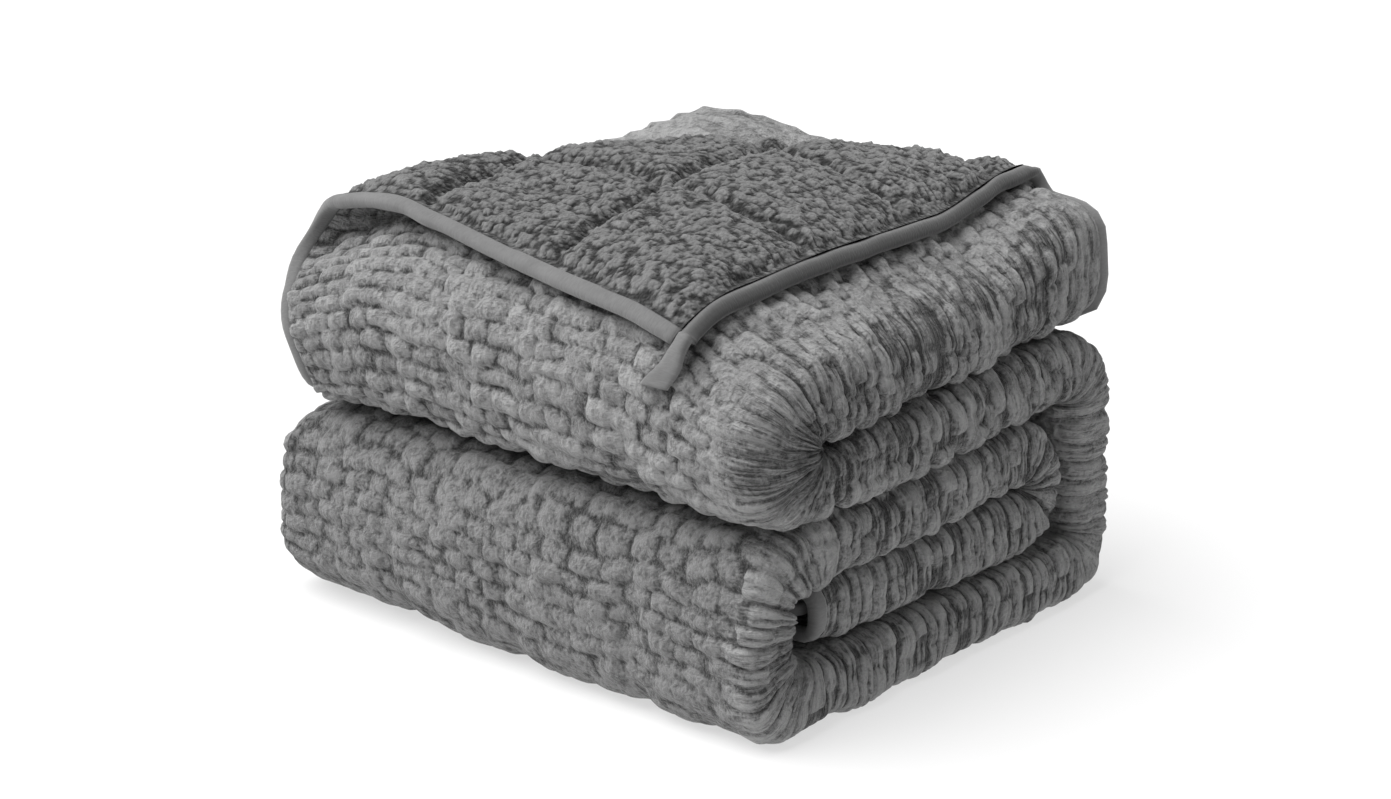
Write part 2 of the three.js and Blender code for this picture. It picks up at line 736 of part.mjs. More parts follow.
function tailPlaces() {
  const corner = turnOver(FREE_EDGE_X - CORNER_PULL.x, TOP_END_Y + CORNER_PULL.y);
  const places = [];
  for (let step = 1; step <= TAIL_STEPS; step += 1) {
    const share = step / TAIL_STEPS;
    const flatter = smooth(share);
    const height = mix(corner.height, HALF_PLY + TAIL_THICK / 2 + TAIL_CLEARANCE, flatter);
    const under = { x: corner.x - TAIL_LEAN * share, y: corner.y - TAIL_LENGTH * share, height };
    const shifted = smooth((share - TAIL_SHIFT_FROM) / (1 - TAIL_SHIFT_FROM));
    places.push({
      point: overFirstPly(under),
      out: new THREE.Vector3(1, 0, 0),
      normal: firstPlyNormal(under.x, under.y).negate(),
      width: mix(BINDING_WIDTH, TAIL_WIDTH, flatter),
      thick: mix(BINDING_THICK, TAIL_THICK, flatter),
      start: BINDING_GAP - (shifted * (TAIL_WIDTH - BINDING_WIDTH)) / 2,
    });
  }
  return places;
}

// The binding's rounded section, as shares of its width and thickness.
const BINDING_SECTION = [
  { across: 0, up: -0.42 },
  { across: 0.55, up: -0.5 },
  { across: 1, up: -0.24 },
  { across: 1, up: 0.24 },
  { across: 0.55, up: 0.5 },
  { across: 0, up: 0.42 },
];

function bindingGeometry(places) {
  const positions = [];
  for (const place of places) {
    for (const corner of BINDING_SECTION) {
      const point = place.point.clone();
      point.addScaledVector(place.out, place.start + corner.across * place.width);
      point.addScaledVector(place.normal, corner.up * place.thick);
      positions.push(settle(point));
    }
  }
  const sides = BINDING_SECTION.length;
  const faces = [];
  for (let ring = 0; ring + 1 < places.length; ring += 1) {
    for (let side = 0; side < sides; side += 1) {
      const a = ring * sides + side;
      const b = ring * sides + ((side + 1) % sides);
      faces.push([a, b + sides, b], [a, a + sides, b + sides]);
    }
  }
  const lastRing = (places.length - 1) * sides;
  for (let side = 1; side + 1 < sides; side += 1) {
    faces.push([0, side, side + 1], [lastRing, lastRing + side + 1, lastRing + side]);
  }
  return toGeometry(positions, faces);
}

const flat = flatMesh();
const cloth = flat.points.map(({ u, v }) => ({ point: clothPoint(u, v), normal: clothNormal(u, v) }));

const plushMaterial = new THREE.MeshStandardMaterial({ color: 0x6d6d6d, roughness: 0.95, metalness: 0 });
const sherpaMaterial = new THREE.MeshStandardMaterial({ color: 0x5e5e5e, roughness: 1, metalness: 0 });
const bindingMaterial = new THREE.MeshStandardMaterial({ color: 0x7c7c7c, roughness: 0.85, metalness: 0 });

const blanket = new THREE.Group();

function addPiece(name, geometry, material) {
  const piece = new THREE.Mesh(geometry, material);
  piece.name = name;
  blanket.add(piece);
}

addPiece('plush_panel', panelGeometry(flat, cloth, true), plushMaterial);
addPiece('sherpa_panel', panelGeometry(flat, cloth, false), sherpaMaterial);
addPiece('edge_binding', bindingGeometry(bindingPlaces(flat)), bindingMaterial);

export default blanket;
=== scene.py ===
"""Dresses a folded weighted blanket: plush with a basket weave, sherpa back, tape binding, studio.

The blanket is folded in thirds along its length into a strip of three plies, and the strip lies
back and forth in five layers, with the free corner of its top ply turned over. Every surface here
is one map from the flat cloth, u across and v along, to its place in the bundle. Sizes in metres.
"""

import math

import bmesh
import bpy
import numpy as np
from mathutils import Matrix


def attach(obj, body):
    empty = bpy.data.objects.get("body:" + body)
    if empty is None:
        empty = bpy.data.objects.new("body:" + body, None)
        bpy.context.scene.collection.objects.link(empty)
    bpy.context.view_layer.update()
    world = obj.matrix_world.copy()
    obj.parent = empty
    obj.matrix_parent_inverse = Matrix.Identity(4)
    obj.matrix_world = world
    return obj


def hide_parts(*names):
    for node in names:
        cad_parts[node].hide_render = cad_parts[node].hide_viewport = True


bl_info = {
    "name": "Folded Weighted Blanket",
    "version": (1, 0, 0),
    "blender": (4, 5, 0),
    "location": "3D View > Sidebar > Blanket",
    "description": "Makes the cloth, the binding and the studio of a folded weighted blanket",
    "category": "Add Mesh",
}

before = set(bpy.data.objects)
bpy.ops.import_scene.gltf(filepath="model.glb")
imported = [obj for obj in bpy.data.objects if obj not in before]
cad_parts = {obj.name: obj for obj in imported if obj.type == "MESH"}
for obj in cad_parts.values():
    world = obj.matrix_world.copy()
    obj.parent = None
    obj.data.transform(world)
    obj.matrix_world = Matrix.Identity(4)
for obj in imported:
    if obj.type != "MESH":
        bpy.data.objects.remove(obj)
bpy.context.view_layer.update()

# The flat blanket and its quilted squares, one panel with its share of the filling, the distance
# between plies, the groove at a sewn line, and the pressed rim.
CELL = 0.127
FLAT_WIDTH = 12 * CELL
FLAT_LENGTH = 16 * CELL
PANEL = 0.0078
SEAM_GAP = 0.0004
HALF_PLY = PANEL + SEAM_GAP / 2
PLY_PITCH = 0.0175
GROOVE_DEPTH = 0.003
GROOVE_WIDTH = 0.020
RIM_DEPTH = 0.0038
RIM_WIDTH = 0.016

# The five layers of the strip, from the floor up, and where its folds lie.
LAYER_PITCH = 0.053
STRIP_HALF = PLY_PITCH
FLOOR_LAYER_Z = STRIP_HALF + HALF_PLY
LAYER_Z = [FLOOR_LAYER_Z + layer * LAYER_PITCH for layer in range(4)]
TOP_HALF = 0.036
TOP_LAYER_Z = LAYER_Z[3] + STRIP_HALF + PLY_PITCH + TOP_HALF
NEAR_UPPER_Y = -0.152
NEAR_LOWER_Y = -0.141
FAR_WALL_Y = 0.158
INNER_FOLD_Y = 0.112
TOP_END_Y = 0.200
FAR_RISE = 0.006
INNER_END_Y = -0.130
WALL_RADIUS = 0.0345
SQUARE_POWER = 4.5
SQUARE_FROM = 0.015
SQUARE_WIDTH = 0.045
SIDE_POWER = 3
FREE_EDGE_X = -0.230
LEFT_X = -0.252
HIDDEN_EDGE_GAP = 0.007

# The turned-over corner: a point of its fold line and that line's slope, how round the fold is, how
# close the corner comes to lie, and how far its free corner and its end are pulled.
TURN_X = -0.033
TURN_Y = -0.009
TURN_ANGLE = math.radians(44.9)
TURN_RADIUS_LEFT = 0.024
TURN_RADIUS = 0.010
TURN_SPREAD_FROM = 0.060
TURN_SPREAD_LENGTH = 0.240
TURN_PITCH = 0.019
TURN_SETTLE = 0.080
CORNER_PULL_X = 0.012
CORNER_PULL_Y = 0.004
END_BOW = 0.012

# The near upper turn: its radius at the strip's middle, how that and its height change with the
# ply, and the radius of the first ply.
UPPER_RADIUS = (TOP_LAYER_Z - LAYER_Z[3]) / 2
UPPER_SPREAD = (TOP_HALF + STRIP_HALF) / 2
UPPER_SHIFT = (TOP_HALF - STRIP_HALF) / 2
FIRST_PLY_RADIUS = UPPER_RADIUS + UPPER_SPREAD

# The bends of the strip, from its end on top to its end inside the bundle. A bend has the cloth
# it takes up and that of the run after it, its middle, its radius at the strip's middle, how both
# change with the ply, its angles in degrees, how square its two halves are, the X of the strip's
# right side there, and the crown of the run after it.
BEND_COLUMNS = (
    "cloth", "run", "y", "z", "z_per_ply", "radius", "radius_per_ply",
    "start", "stop", "square_top", "square_foot", "side", "crown",
)
BEND_ROWS = {
    "top end": (
        0, 0.357, TOP_END_Y, TOP_LAYER_Z + FAR_RISE, TOP_HALF, 0, 0, 90, 90, 0, 0, 0.242, 0,
    ),
    "near upper turn": (
        0.127, 0.306, NEAR_UPPER_Y, (TOP_LAYER_Z + LAYER_Z[3]) / 2, UPPER_SHIFT,
        UPPER_RADIUS, UPPER_SPREAD, 90, 270, 0.15, 0.6, 0.248, 0.023,
    ),
    "far upper corner": (
        0.056, 0.092, FAR_WALL_Y, LAYER_Z[3] + FAR_RISE - WALL_RADIUS, 0,
        WALL_RADIUS, -STRIP_HALF, 90, 0, 0.4, 0, 0.244, 0,
    ),
    "far lower corner": (
        0.056, 0.290, FAR_WALL_Y, LAYER_Z[0] + WALL_RADIUS, 0,
        WALL_RADIUS, -STRIP_HALF, 0, -90, 0, 1, 0.244, 0,
    ),
    "near lower turn": (
        0.170, 0.244, NEAR_LOWER_Y, (LAYER_Z[0] + LAYER_Z[2]) / 2, 0,
        LAYER_PITCH, -STRIP_HALF, 270, 90, 0.8, 1, 0.243, 0.0156,
    ),
    "inner turn": (
        0.084, 0.250, INNER_FOLD_Y, (LAYER_Z[1] + LAYER_Z[2]) / 2, 0,
        LAYER_PITCH / 2, -STRIP_HALF, 90, -90, 0, 0, 0.234, 0.0078,
    ),
    "inner end": (
        0, 0, INNER_END_Y, LAYER_Z[1], STRIP_HALF, 0, 0, 90, 90, 0, 0, 0.232, 0,
    ),
}
BENDS = dict(zip(BEND_COLUMNS, np.array(list(BEND_ROWS.values()), float).T))
BENDS["place"] = np.cumsum(BENDS["cloth"] + BENDS["run"]) - BENDS["cloth"] - BENDS["run"]
BENDS["start"] = np.radians(BENDS["start"])
BENDS["stop"] = np.radians(BENDS["stop"])
TOP_END, NEAR_UPPER, FAR_UPPER, FAR_LOWER, NEAR_LOWER, INNER, INNER_END = range(len(BEND_ROWS))

# Across the strip: the cloth in the first ply, right fold, third ply, left fold and middle ply.
PLY_CLOTH = np.array([0.482, 0.056, 0.476, 0.028, 0.482])
PLY_START = np.cumsum(PLY_CLOTH) - PLY_CLOTH
FIRST, RIGHT_FOLD, THIRD, LEFT_FOLD, MIDDLE = range(len(PLY_CLOTH))

# The crown of the top layer, its sinking left edge, the lift of its far right corner and of that
# corner's end, the hump behind the turned-over corner, and the slope down to the right.
CROWN_HEIGHT = 0.037
CROWN_X = -0.025
CROWN_HALF_WIDTH = 0.250
CROWN_NEAR_FALL = 0.62
CROWN_NEAR_Y = -0.050
CROWN_NEAR_DEPTH = 0.130
CROWN_FAR_FALL = 0.60
CROWN_FAR_Y = 0.020
CROWN_FAR_DEPTH = 0.180
LEFT_SINK = 0.038
LEFT_SINK_FROM = 0.120
LEFT_SINK_WIDTH = 0.130
CORNER_LIFT = 0.005
CORNER_LIFT_X = 0.060
CORNER_LIFT_WIDTH = 0.100
CORNER_LIFT_Y = 0.060
CORNER_LIFT_DEPTH = 0.100
END_CURL = 0.005
END_CURL_X = 0.120
END_CURL_WIDTH = 0.110
END_CURL_Y = 0.130
END_CURL_DEPTH = 0.070
HUMP = 0.014
HUMP_ALONG = 0.054
HUMP_WIDTH = 0.076
HUMP_FROM = 0.030
HUMP_RISE = 0.050
SLOPE = 0.022
SLOPE_X = 0.105
SLOPE_WIDTH = 0.130
SLOPE_Y = 0.060
SLOPE_DEPTH = 0.120
SLOPE_EASE = 0.90

# The middle ply swells into the place that the turned-over corner has left.
SWELL_PLY = 1.10
SWELL_FROM = 0.052
SWELL_WIDTH = 0.075
SWELL_FRONT_Y = -0.150
SWELL_FRONT_WIDTH = 0.090

# The bundle's own shape: its slow waviness, the notch and the bulge at its left end, its far right
# shoulder, its near left foot, and the middle of its box before it is centred.
SWAY = 0.003
SWAY_REACH = (0.088, 0.076, 0.064)
SWAY_FLOOR = 0.060
NOTCH = 0.021
NOTCH_Z = 0.179
NOTCH_HEIGHT = 0.042
NOTCH_X = -0.120
NOTCH_WIDTH = 0.130
NOTCH_Y = 0.060
NOTCH_DEPTH = 0.200
BULGE = 0.010
BULGE_Z = 0.268
BULGE_HEIGHT = 0.026
SHOULDER = 0.006
SHOULDER_Z = 0.180
SHOULDER_RISE = 0.030
SHOULDER_ROUND = 0.003
SHOULDER_ROUND_Z = 0.240
SHOULDER_ROUND_RISE = 0.050
SHOULDER_X = 0.130
SHOULDER_WIDTH = 0.110
SHOULDER_Y = 0.020
SHOULDER_DEPTH = 0.150
FOOT = 0.010
FOOT_HEIGHT = 0.040
FOOT_Y = -0.110
FOOT_DEPTH = 0.070
FOOT_X = 0.050
FOOT_WIDTH = 0.250
CENTRE = (-0.00268, -0.00343)

# The binding's width beyond the rim, its thickness, and the tail at the turned-over corner, which
# lies clear of the first ply and moves to the tape's middle over the last share of its length.
BINDING_GAP = 0.0013
BINDING_WIDTH = 0.010
BINDING_THICK = 0.010
TAIL_LENGTH = 0.032
TAIL_LEAN = 0.012
TAIL_WIDTH = 0.024
TAIL_THICK = 0.005
TAIL_CLEARANCE = 0.002
TAIL_SHIFT_FROM = 0.5

# How far along the strip the turned-over corner's layer goes: to the end of the near upper turn.
TURN_END = BENDS["place"][NEAR_UPPER] + BENDS["cloth"][NEAR_UPPER]

# The least cloth of a bend that is divided by, the short steps that normals are taken from, and
# how many points measure the side fold's round.
LEAST_CLOTH = 1e-9
PLY_STEP = 0.0005
CLOTH_STEP = 0.0008
ROUND_POINTS = 181

# What scatters the bits of a cell's place and of a seed, for chances that come out the same.
SCATTER_I = 73856093
SCATTER_J = 19349663
SCATTER_SEED = 83492791
SCATTER_AGAIN = ((15, 1274126177), (13, 2246822519))
LOW_BITS = 0xFFFFFFFF
CHANCE_BITS = 0xFFFF


def mix(a, b, share):
    """The value a share of the way from a to b."""
    return a + (b - a) * share


def smooth(value):
    """0 below 0, 1 above 1, and a soft step between them: 3t² - 2t³."""
    t = np.clip(value, 0, 1)
    return t * t * (3 - 2 * t)


def squared_reach(angle, power):
    """How far a squared-off round of radius 1 reaches: (|cos|^p + |sin|^p) to the power -1/p."""
    return (np.abs(np.cos(angle)) ** power + np.abs(np.sin(angle)) ** power) ** (-1 / power)


def bend_point(bend, ply, angle):
    """Y and Z on bends: the middle, moved with the ply, plus a squared-off reach at an angle."""
    radius = BENDS["radius"][bend] + BENDS["radius_per_ply"][bend] * ply
    wide = np.clip((radius - SQUARE_FROM) / SQUARE_WIDTH, 0, 1)
    upper = np.sin(angle) > 0
    square = np.where(upper, BENDS["square_top"][bend], BENDS["square_foot"][bend])
    reach = radius * mix(1, squared_reach(angle, SQUARE_POWER), wide * square)
    y = BENDS["y"][bend] + reach * np.cos(angle)
    z = BENDS["z"][bend] + BENDS["z_per_ply"][bend] * ply + reach * np.sin(angle)
    return y, z


class Along:
    """Where distances v along the strip lie: in which bend or run, and how far through it."""

    def __init__(self, v):
        """The bend before v, the share of it that is turned, and the share of the run after it.
        Then what the plies need there: half the strip's height, the middle of the right fold, the
        crown's shares, how the first ply would lie if level, and the place of the middle ply."""
        last = len(BEND_ROWS) - 2
        self.bend = np.clip(np.searchsorted(BENDS["place"], v, side="right") - 1, 0, last)
        past = v - BENDS["place"][self.bend]
        cloth = BENDS["cloth"][self.bend]
        turned = np.clip(past / np.maximum(cloth, LEAST_CLOTH), 0, 1)
        self.turned = np.where(cloth > 0, turned, 1)
        self.run = np.clip((past - cloth) / BENDS["run"][self.bend], 0, 1)
        top = np.clip(self.bend - 1 + self.turned, 0, 1)
        self.half = UPPER_SPREAD + UPPER_SHIFT * np.cos(np.pi * top)
        sides = BENDS["side"]
        side = mix(sides[self.bend], sides[self.bend + 1], smooth(self.run))
        self.fold_x = side - HALF_PLY - self.half
        self.top_share = (1 + np.cos(np.pi * top)) / 2
        self.inner_crown = BENDS["crown"][self.bend] * np.sin(np.pi * self.run) ** 2
        self.level_y = np.where(
            self.bend == TOP_END,
            mix(TOP_END_Y, NEAR_UPPER_Y, self.run),
            NEAR_UPPER_Y - FIRST_PLY_RADIUS * np.pi * self.turned,
        )
        self.to_end = np.where(self.bend == TOP_END, 1 - self.run, 0)
        self.middle = 1 - PLY_PITCH / self.half

    def point(self, ply):
        """Y and Z of a ply, from -1, the third, to 1, the first: a bend, or a run between two."""
        angle = mix(BENDS["start"][self.bend], BENDS["stop"][self.bend], self.turned)
        y0, z0 = bend_point(self.bend, ply, angle)
        y1, z1 = bend_point(self.bend + 1, ply, BENDS["start"][self.bend + 1])
        return mix(y0, y1, self.run), mix(z0, z1, self.run)


def dome(x, y):
    """The crown's height: a parabola across, times 1 less a soft step near by and a parabola far
    off."""
    near = CROWN_NEAR_FALL * smooth((CROWN_NEAR_Y - y) / CROWN_NEAR_DEPTH)
    far = CROWN_FAR_FALL * (np.maximum(0, y - CROWN_FAR_Y) / CROWN_FAR_DEPTH) ** 2
    return CROWN_HEIGHT * crown_across(x) * (1 - near - far)


def crown_across(x):
    """The crown's share across the bundle: a parabola, 1 at its middle and 0 at its sides."""
    return np.maximum(0, 1 - ((x - CROWN_X) / CROWN_HALF_WIDTH) ** 2)


def unevenness(x, y):
    """The lift of the far right corner, of its end and of the hump behind the turned-over corner,
    less the sinking of the left edge and the slope to the right: all of them soft steps."""
    left = smooth((-x - LEFT_SINK_FROM) / LEFT_SINK_WIDTH)
    right = smooth((x - CORNER_LIFT_X) / CORNER_LIFT_WIDTH)
    corner = right * smooth((y - CORNER_LIFT_Y) / CORNER_LIFT_DEPTH)
    beyond, along_line = from_turn(x, y)
    hump = smooth(1 - np.abs(along_line - HUMP_ALONG) / HUMP_WIDTH)
    hump = hump * smooth((beyond - HUMP_FROM) / HUMP_RISE)
    slope = smooth((x - SLOPE_X) / SLOPE_WIDTH)
    slope = slope * (1 - SLOPE_EASE * smooth((y - SLOPE_Y) / SLOPE_DEPTH))
    curl = smooth((x - END_CURL_X) / END_CURL_WIDTH) * smooth((y - END_CURL_Y) / END_CURL_DEPTH)
    raised = CORNER_LIFT * corner + END_CURL * curl + HUMP * hump
    return raised - LEFT_SINK * left - SLOPE * slope


def lift(along, x, y, upper):
    """How far a place is lifted by the crown, in the top layer and in the runs below it."""
    top = (dome(x, y) + unevenness(x, y) * upper) * along.top_share
    return top + along.inner_crown * crown_across(x)


def from_turn(x, y):
    """Distance beyond the turned-over corner's fold line, and distance along that line."""
    dx = x - TURN_X
    dy = y - TURN_Y
    beyond = dy * math.cos(TURN_ANGLE) - dx * math.sin(TURN_ANGLE)
    return beyond, dx * math.cos(TURN_ANGLE) + dy * math.sin(TURN_ANGLE)


def turn_radius(along_line):
    """The fold's radius, larger towards its left-hand end."""
    spread = smooth((-along_line - TURN_SPREAD_FROM) / TURN_SPREAD_LENGTH)
    return mix(TURN_RADIUS, TURN_RADIUS_LEFT, spread)


def turn_over(x, y):
    """Where level cloth lies once its corner is turned over: round the fold line, and back."""
    beyond, along_line = from_turn(x, y)
    radius = turn_radius(along_line)
    past = beyond - np.pi * radius
    settled = TURN_PITCH + (2 * radius - TURN_PITCH) * np.exp(-np.maximum(past, 0) / TURN_SETTLE)
    bending = past < 0
    offset = np.where(bending, radius * np.sin(beyond / radius), -past)
    height = np.where(bending, radius * (1 - np.cos(beyond / radius)), settled)
    move = np.where(beyond > 0, offset - beyond, 0)
    height = np.where(beyond > 0, height, 0)
    return x - move * math.sin(TURN_ANGLE), y + move * math.cos(TURN_ANGLE), height


def first_ply(x, level_y):
    """The first ply's middle: level in the top layer, then round the near upper turn."""
    turned = np.clip((NEAR_UPPER_Y - level_y) / (FIRST_PLY_RADIUS * np.pi), 0, 1)
    turn_y, z = bend_point(NEAR_UPPER, 1, np.pi / 2 + np.pi * turned)
    y = np.where(level_y > NEAR_UPPER_Y, level_y, turn_y)
    slope = FAR_RISE / (TOP_END_Y - NEAR_UPPER_Y)
    rise = slope * np.maximum(0, level_y - NEAR_UPPER_Y)
    lifted = (dome(x, y) + unevenness(x, y)) * (1 + np.cos(np.pi * turned)) / 2
    return np.stack([x, y, z + rise + lifted], axis=-1)


def first_ply_place(share, along):
    """Where the first ply would lie if level: straight across, but for the pull at its free
    corner, which fades to its other edges, and the bow of its end, a parabola."""
    pull = (1 - share) * along.to_end
    x = mix(FREE_EDGE_X, along.fold_x, share) - CORNER_PULL_X * pull
    return x, along.level_y + (CORNER_PULL_Y + 4 * END_BOW * share) * pull


def unit(vectors):
    """Vectors made one long."""
    return vectors / np.linalg.norm(vectors, axis=-1, keepdims=True)


def over_first_ply(x, level_y, height):
    """A place at a height over the first ply, along that ply's normal."""
    across = first_ply(x + PLY_STEP, level_y) - first_ply(x - PLY_STEP, level_y)
    along = first_ply(x, level_y + PLY_STEP) - first_ply(x, level_y - PLY_STEP)
    normal = unit(np.cross(across, along))
    return first_ply(x, level_y) + normal * height[..., None], normal


def swell(x, y):
    """How far the middle ply has swollen: a soft step past the turned-over corner's fold line, times
    one behind the near turn."""
    beyond = from_turn(x, y)[0]
    front = smooth((y - SWELL_FRONT_Y) / SWELL_FRONT_WIDTH)
    return smooth((beyond - SWELL_FROM) / SWELL_WIDTH) * front


def ply_at(u):
    """Which ply or fold of the strip a place across the cloth is in: the last one started."""
    return np.clip(np.searchsorted(PLY_START, u, side="right") - 1, 0, MIDDLE)


def left_fold(along, edge_y):
    """The middle ply's place at the left fold, swollen in the top layer, and from it half the
    height that the fold spans and the X of its middle."""
    swollen = mix(along.middle, SWELL_PLY, swell(LEFT_X + along.half, edge_y))
    ply = np.where(along.bend == TOP_END, swollen, along.middle)
    left_half = along.half * (ply + 1) / 2
    return ply, left_half, LEFT_X + HALF_PLY + left_half


def cloth_point(u, v):
    """The middle of the cloth at u across and v along the flat blanket.

    Across the strip the first ply runs level, a squared-off round leads down into the third ply,
    a half circle leads up into the middle ply, and each ply follows the bends and runs along v.
    """
    along = Along(v)
    row = ply_at(u)
    share = (u - PLY_START[row]) / PLY_CLOTH[row]
    half = along.half
    edge_y = along.point(along.middle)[0]
    left_ply, left_half, left_x = left_fold(along, edge_y)
    angle = np.pi * share
    reach = squared_reach(angle, SIDE_POWER)
    rows = [row == ply for ply in range(MIDDLE)]
    middle_x = mix(left_x, along.fold_x - HIDDEN_EDGE_GAP, share)
    first_x, first_y = first_ply_place(share, along)
    x = np.select(rows, [
        first_x,
        along.fold_x + half * reach * np.sin(angle),
        mix(along.fold_x, left_x, share),
        left_x - left_half * np.sin(angle),
    ], middle_x)
    middle_swollen = mix(along.middle, SWELL_PLY, swell(x + LEFT_X + half - left_x, edge_y))
    ply = np.select(rows, [
        np.ones_like(x),
        reach * np.cos(angle),
        -np.ones_like(x),
        -1 + (left_ply + 1) * (1 - np.cos(angle)) / 2,
    ], np.where(along.bend == TOP_END, middle_swollen, along.middle))
    y, z = along.point(ply)
    upper = np.clip((ply + 1) / (along.middle + 1), 0, 1)
    folded = np.stack([x, y, z + lift(along, x, y, upper)], axis=-1)
    turned = over_first_ply(*turn_over(x, first_y))[0]
    on_top = (row == FIRST) & (v <= TURN_END)
    return np.where(on_top[..., None], turned, folded)


def cloth_normal(u, v):
    """The cloth's normal on its plush side, from short steps both ways, kept inside the rim."""
    u0 = np.maximum(0, u - CLOTH_STEP)
    u1 = np.minimum(FLAT_WIDTH, u + CLOTH_STEP)
    v0 = np.maximum(0, v - CLOTH_STEP)
    v1 = np.minimum(FLAT_LENGTH, v + CLOTH_STEP)
    across = cloth_point(u1, v) - cloth_point(u0, v)
    along = cloth_point(u, v1) - cloth_point(u, v0)
    return unit(np.cross(along, across))


def to_line(place):
    """How far the nearest sewn line lies beyond a place, negative where it lies before it."""
    return CELL * np.round(place / CELL) - place


def to_rim(u, v):
    """Distance in the flat cloth to the nearest of its four edges."""
    return np.minimum(np.minimum(u, v), np.minimum(FLAT_WIDTH - u, FLAT_LENGTH - v))


def thickness(u, v):
    """One panel's thickness: thinner by soft grooves at the sewn lines, and at the rim."""
    line = np.minimum(np.abs(to_line(u)), np.abs(to_line(v)))
    groove = GROOVE_DEPTH * (1 - smooth(line / GROOVE_WIDTH))
    pressed = RIM_DEPTH * (1 - smooth(to_rim(u, v) / RIM_WIDTH))
    return PANEL - np.maximum(groove, pressed)


def settle(points):
    """The bundle's own shape: a slow waviness of sines that dies out at the floor, a notch drawn in
    at the left between the two halves, less a bulge over it, both bell curves of the height, and
    a rounder far right shoulder and near left foot, both soft steps."""
    x, y, z = np.moveaxis(points, -1, 0)
    free = SWAY * smooth(z / SWAY_FLOOR)
    sway_x = np.sin(y / SWAY_REACH[1] + z / SWAY_REACH[2])
    sway_y = np.sin(x / SWAY_REACH[0] - z / SWAY_REACH[2])
    sway_z = np.sin(x / SWAY_REACH[1]) * np.cos(y / SWAY_REACH[0]) / 2
    notch = NOTCH * np.exp(-(((z - NOTCH_Z) / NOTCH_HEIGHT) ** 2))
    notch = notch - BULGE * np.exp(-(((z - BULGE_Z) / BULGE_HEIGHT) ** 2))
    notch = notch * smooth((NOTCH_X - x) / NOTCH_WIDTH) * smooth((NOTCH_Y - y) / NOTCH_DEPTH)
    shoulder = SHOULDER * smooth((z - SHOULDER_Z) / SHOULDER_RISE)
    shoulder = shoulder + SHOULDER_ROUND * smooth((z - SHOULDER_ROUND_Z) / SHOULDER_ROUND_RISE)
    shoulder = shoulder * smooth((x - SHOULDER_X) / SHOULDER_WIDTH)
    shoulder = shoulder * smooth((y - SHOULDER_Y) / SHOULDER_DEPTH)
    foot = FOOT * (1 - smooth(z / FOOT_HEIGHT)) * smooth((FOOT_X - x) / FOOT_WIDTH)
    foot = foot * smooth((FOOT_Y - y) / FOOT_DEPTH)
    settled_x = x + free * sway_x + notch - shoulder - CENTRE[0]
    settled_y = y + free * sway_y + foot - CENTRE[1]
    return np.stack([settled_x, settled_y, z + free * sway_z], axis=-1)


def chance(i, j, seed):
    """A number from 0 to 1 for each pair of whole numbers: the same for the same seed."""
    mixed = (i.astype(np.int64) * SCATTER_I) ^ (j.astype(np.int64) * SCATTER_J)
    mixed = mixed ^ (seed * SCATTER_SEED)
    for shift, factor in SCATTER_AGAIN:
        mixed = mixed & LOW_BITS
        mixed = (mixed ^ (mixed >> shift)) * factor
    return ((mixed >> 8) & CHANCE_BITS) / CHANCE_BITS


def drift(x, y, size, seed):
    """A slow waviness from -1 to 1: chances on a square grid, mixed by soft steps between them."""
    i = np.floor(x / size)
    j = np.floor(y / size)
    s = smooth(x / size - i)
    t = smooth(y / size - j)
    near = mix(chance(i, j, seed), chance(i + 1, j, seed), s)
    far = mix(chance(i, j + 1, seed), chance(i + 1, j + 1, seed), s)
    return 2 * mix(near, far, t) - 1


def waver(x, y, size, seed):
    """The same slow waviness, from 0 to 1."""
    return (1 + drift(x, y, size, seed)) / 2


def ply_lengths(along):
    """The length in space of each ply and fold along its outer face, at each distance along."""
    _, left_half, left_x = left_fold(along, along.point(along.middle)[0])
    return [
        along.fold_x - FREE_EDGE_X,
        ROUND_LENGTH * (along.half + HALF_PLY),
        along.fold_x - left_x,
        np.pi * (left_half + HALF_PLY),
        along.fold_x - HIDDEN_EDGE_GAP - left_x,
    ]


def round_length():
    """The length of the side fold's squared-off half round, for a reach of 1."""
    angle = np.linspace(0, np.pi, ROUND_POINTS)
    reach = squared_reach(angle, SIDE_POWER)
    steps = np.hypot(np.diff(reach * np.cos(angle)), np.diff(reach * np.sin(angle)))
    return steps.sum()


ROUND_LENGTH = round_length()


def u_at(place, along):
    """The flat u at a distance round the strip, 0 at the middle of the right fold: each ply and
    fold takes its own share of the distance."""
    first, fold, third, left, middle = ply_lengths(along)
    start = PLY_START[RIGHT_FOLD] + PLY_CLOTH[RIGHT_FOLD] / 2
    after = place - fold / 2
    parts = [
        np.clip(place + fold / 2, -first, 0) / first * PLY_CLOTH[FIRST],
        np.clip(place, -fold / 2, fold / 2) / fold * PLY_CLOTH[RIGHT_FOLD],
        np.clip(after, 0, third) / third * PLY_CLOTH[THIRD],
        np.clip(after - third, 0, left) / left * PLY_CLOTH[LEFT_FOLD],
        np.clip(after - third - left, 0, middle) / middle * PLY_CLOTH[MIDDLE],
    ]
    return np.clip(start + sum(parts), 0, FLAT_WIDTH)


def lines(*spans):
    """Grid lines from spans of (start, end, step), each divided evenly, with no line twice."""
    parts = [np.array([spans[0][0]])]
    for start, end, step in spans:
        count = max(1, round(abs(end - start) / step))
        parts.append(np.linspace(start, end, count + 1)[1:])
    return np.concatenate(parts)


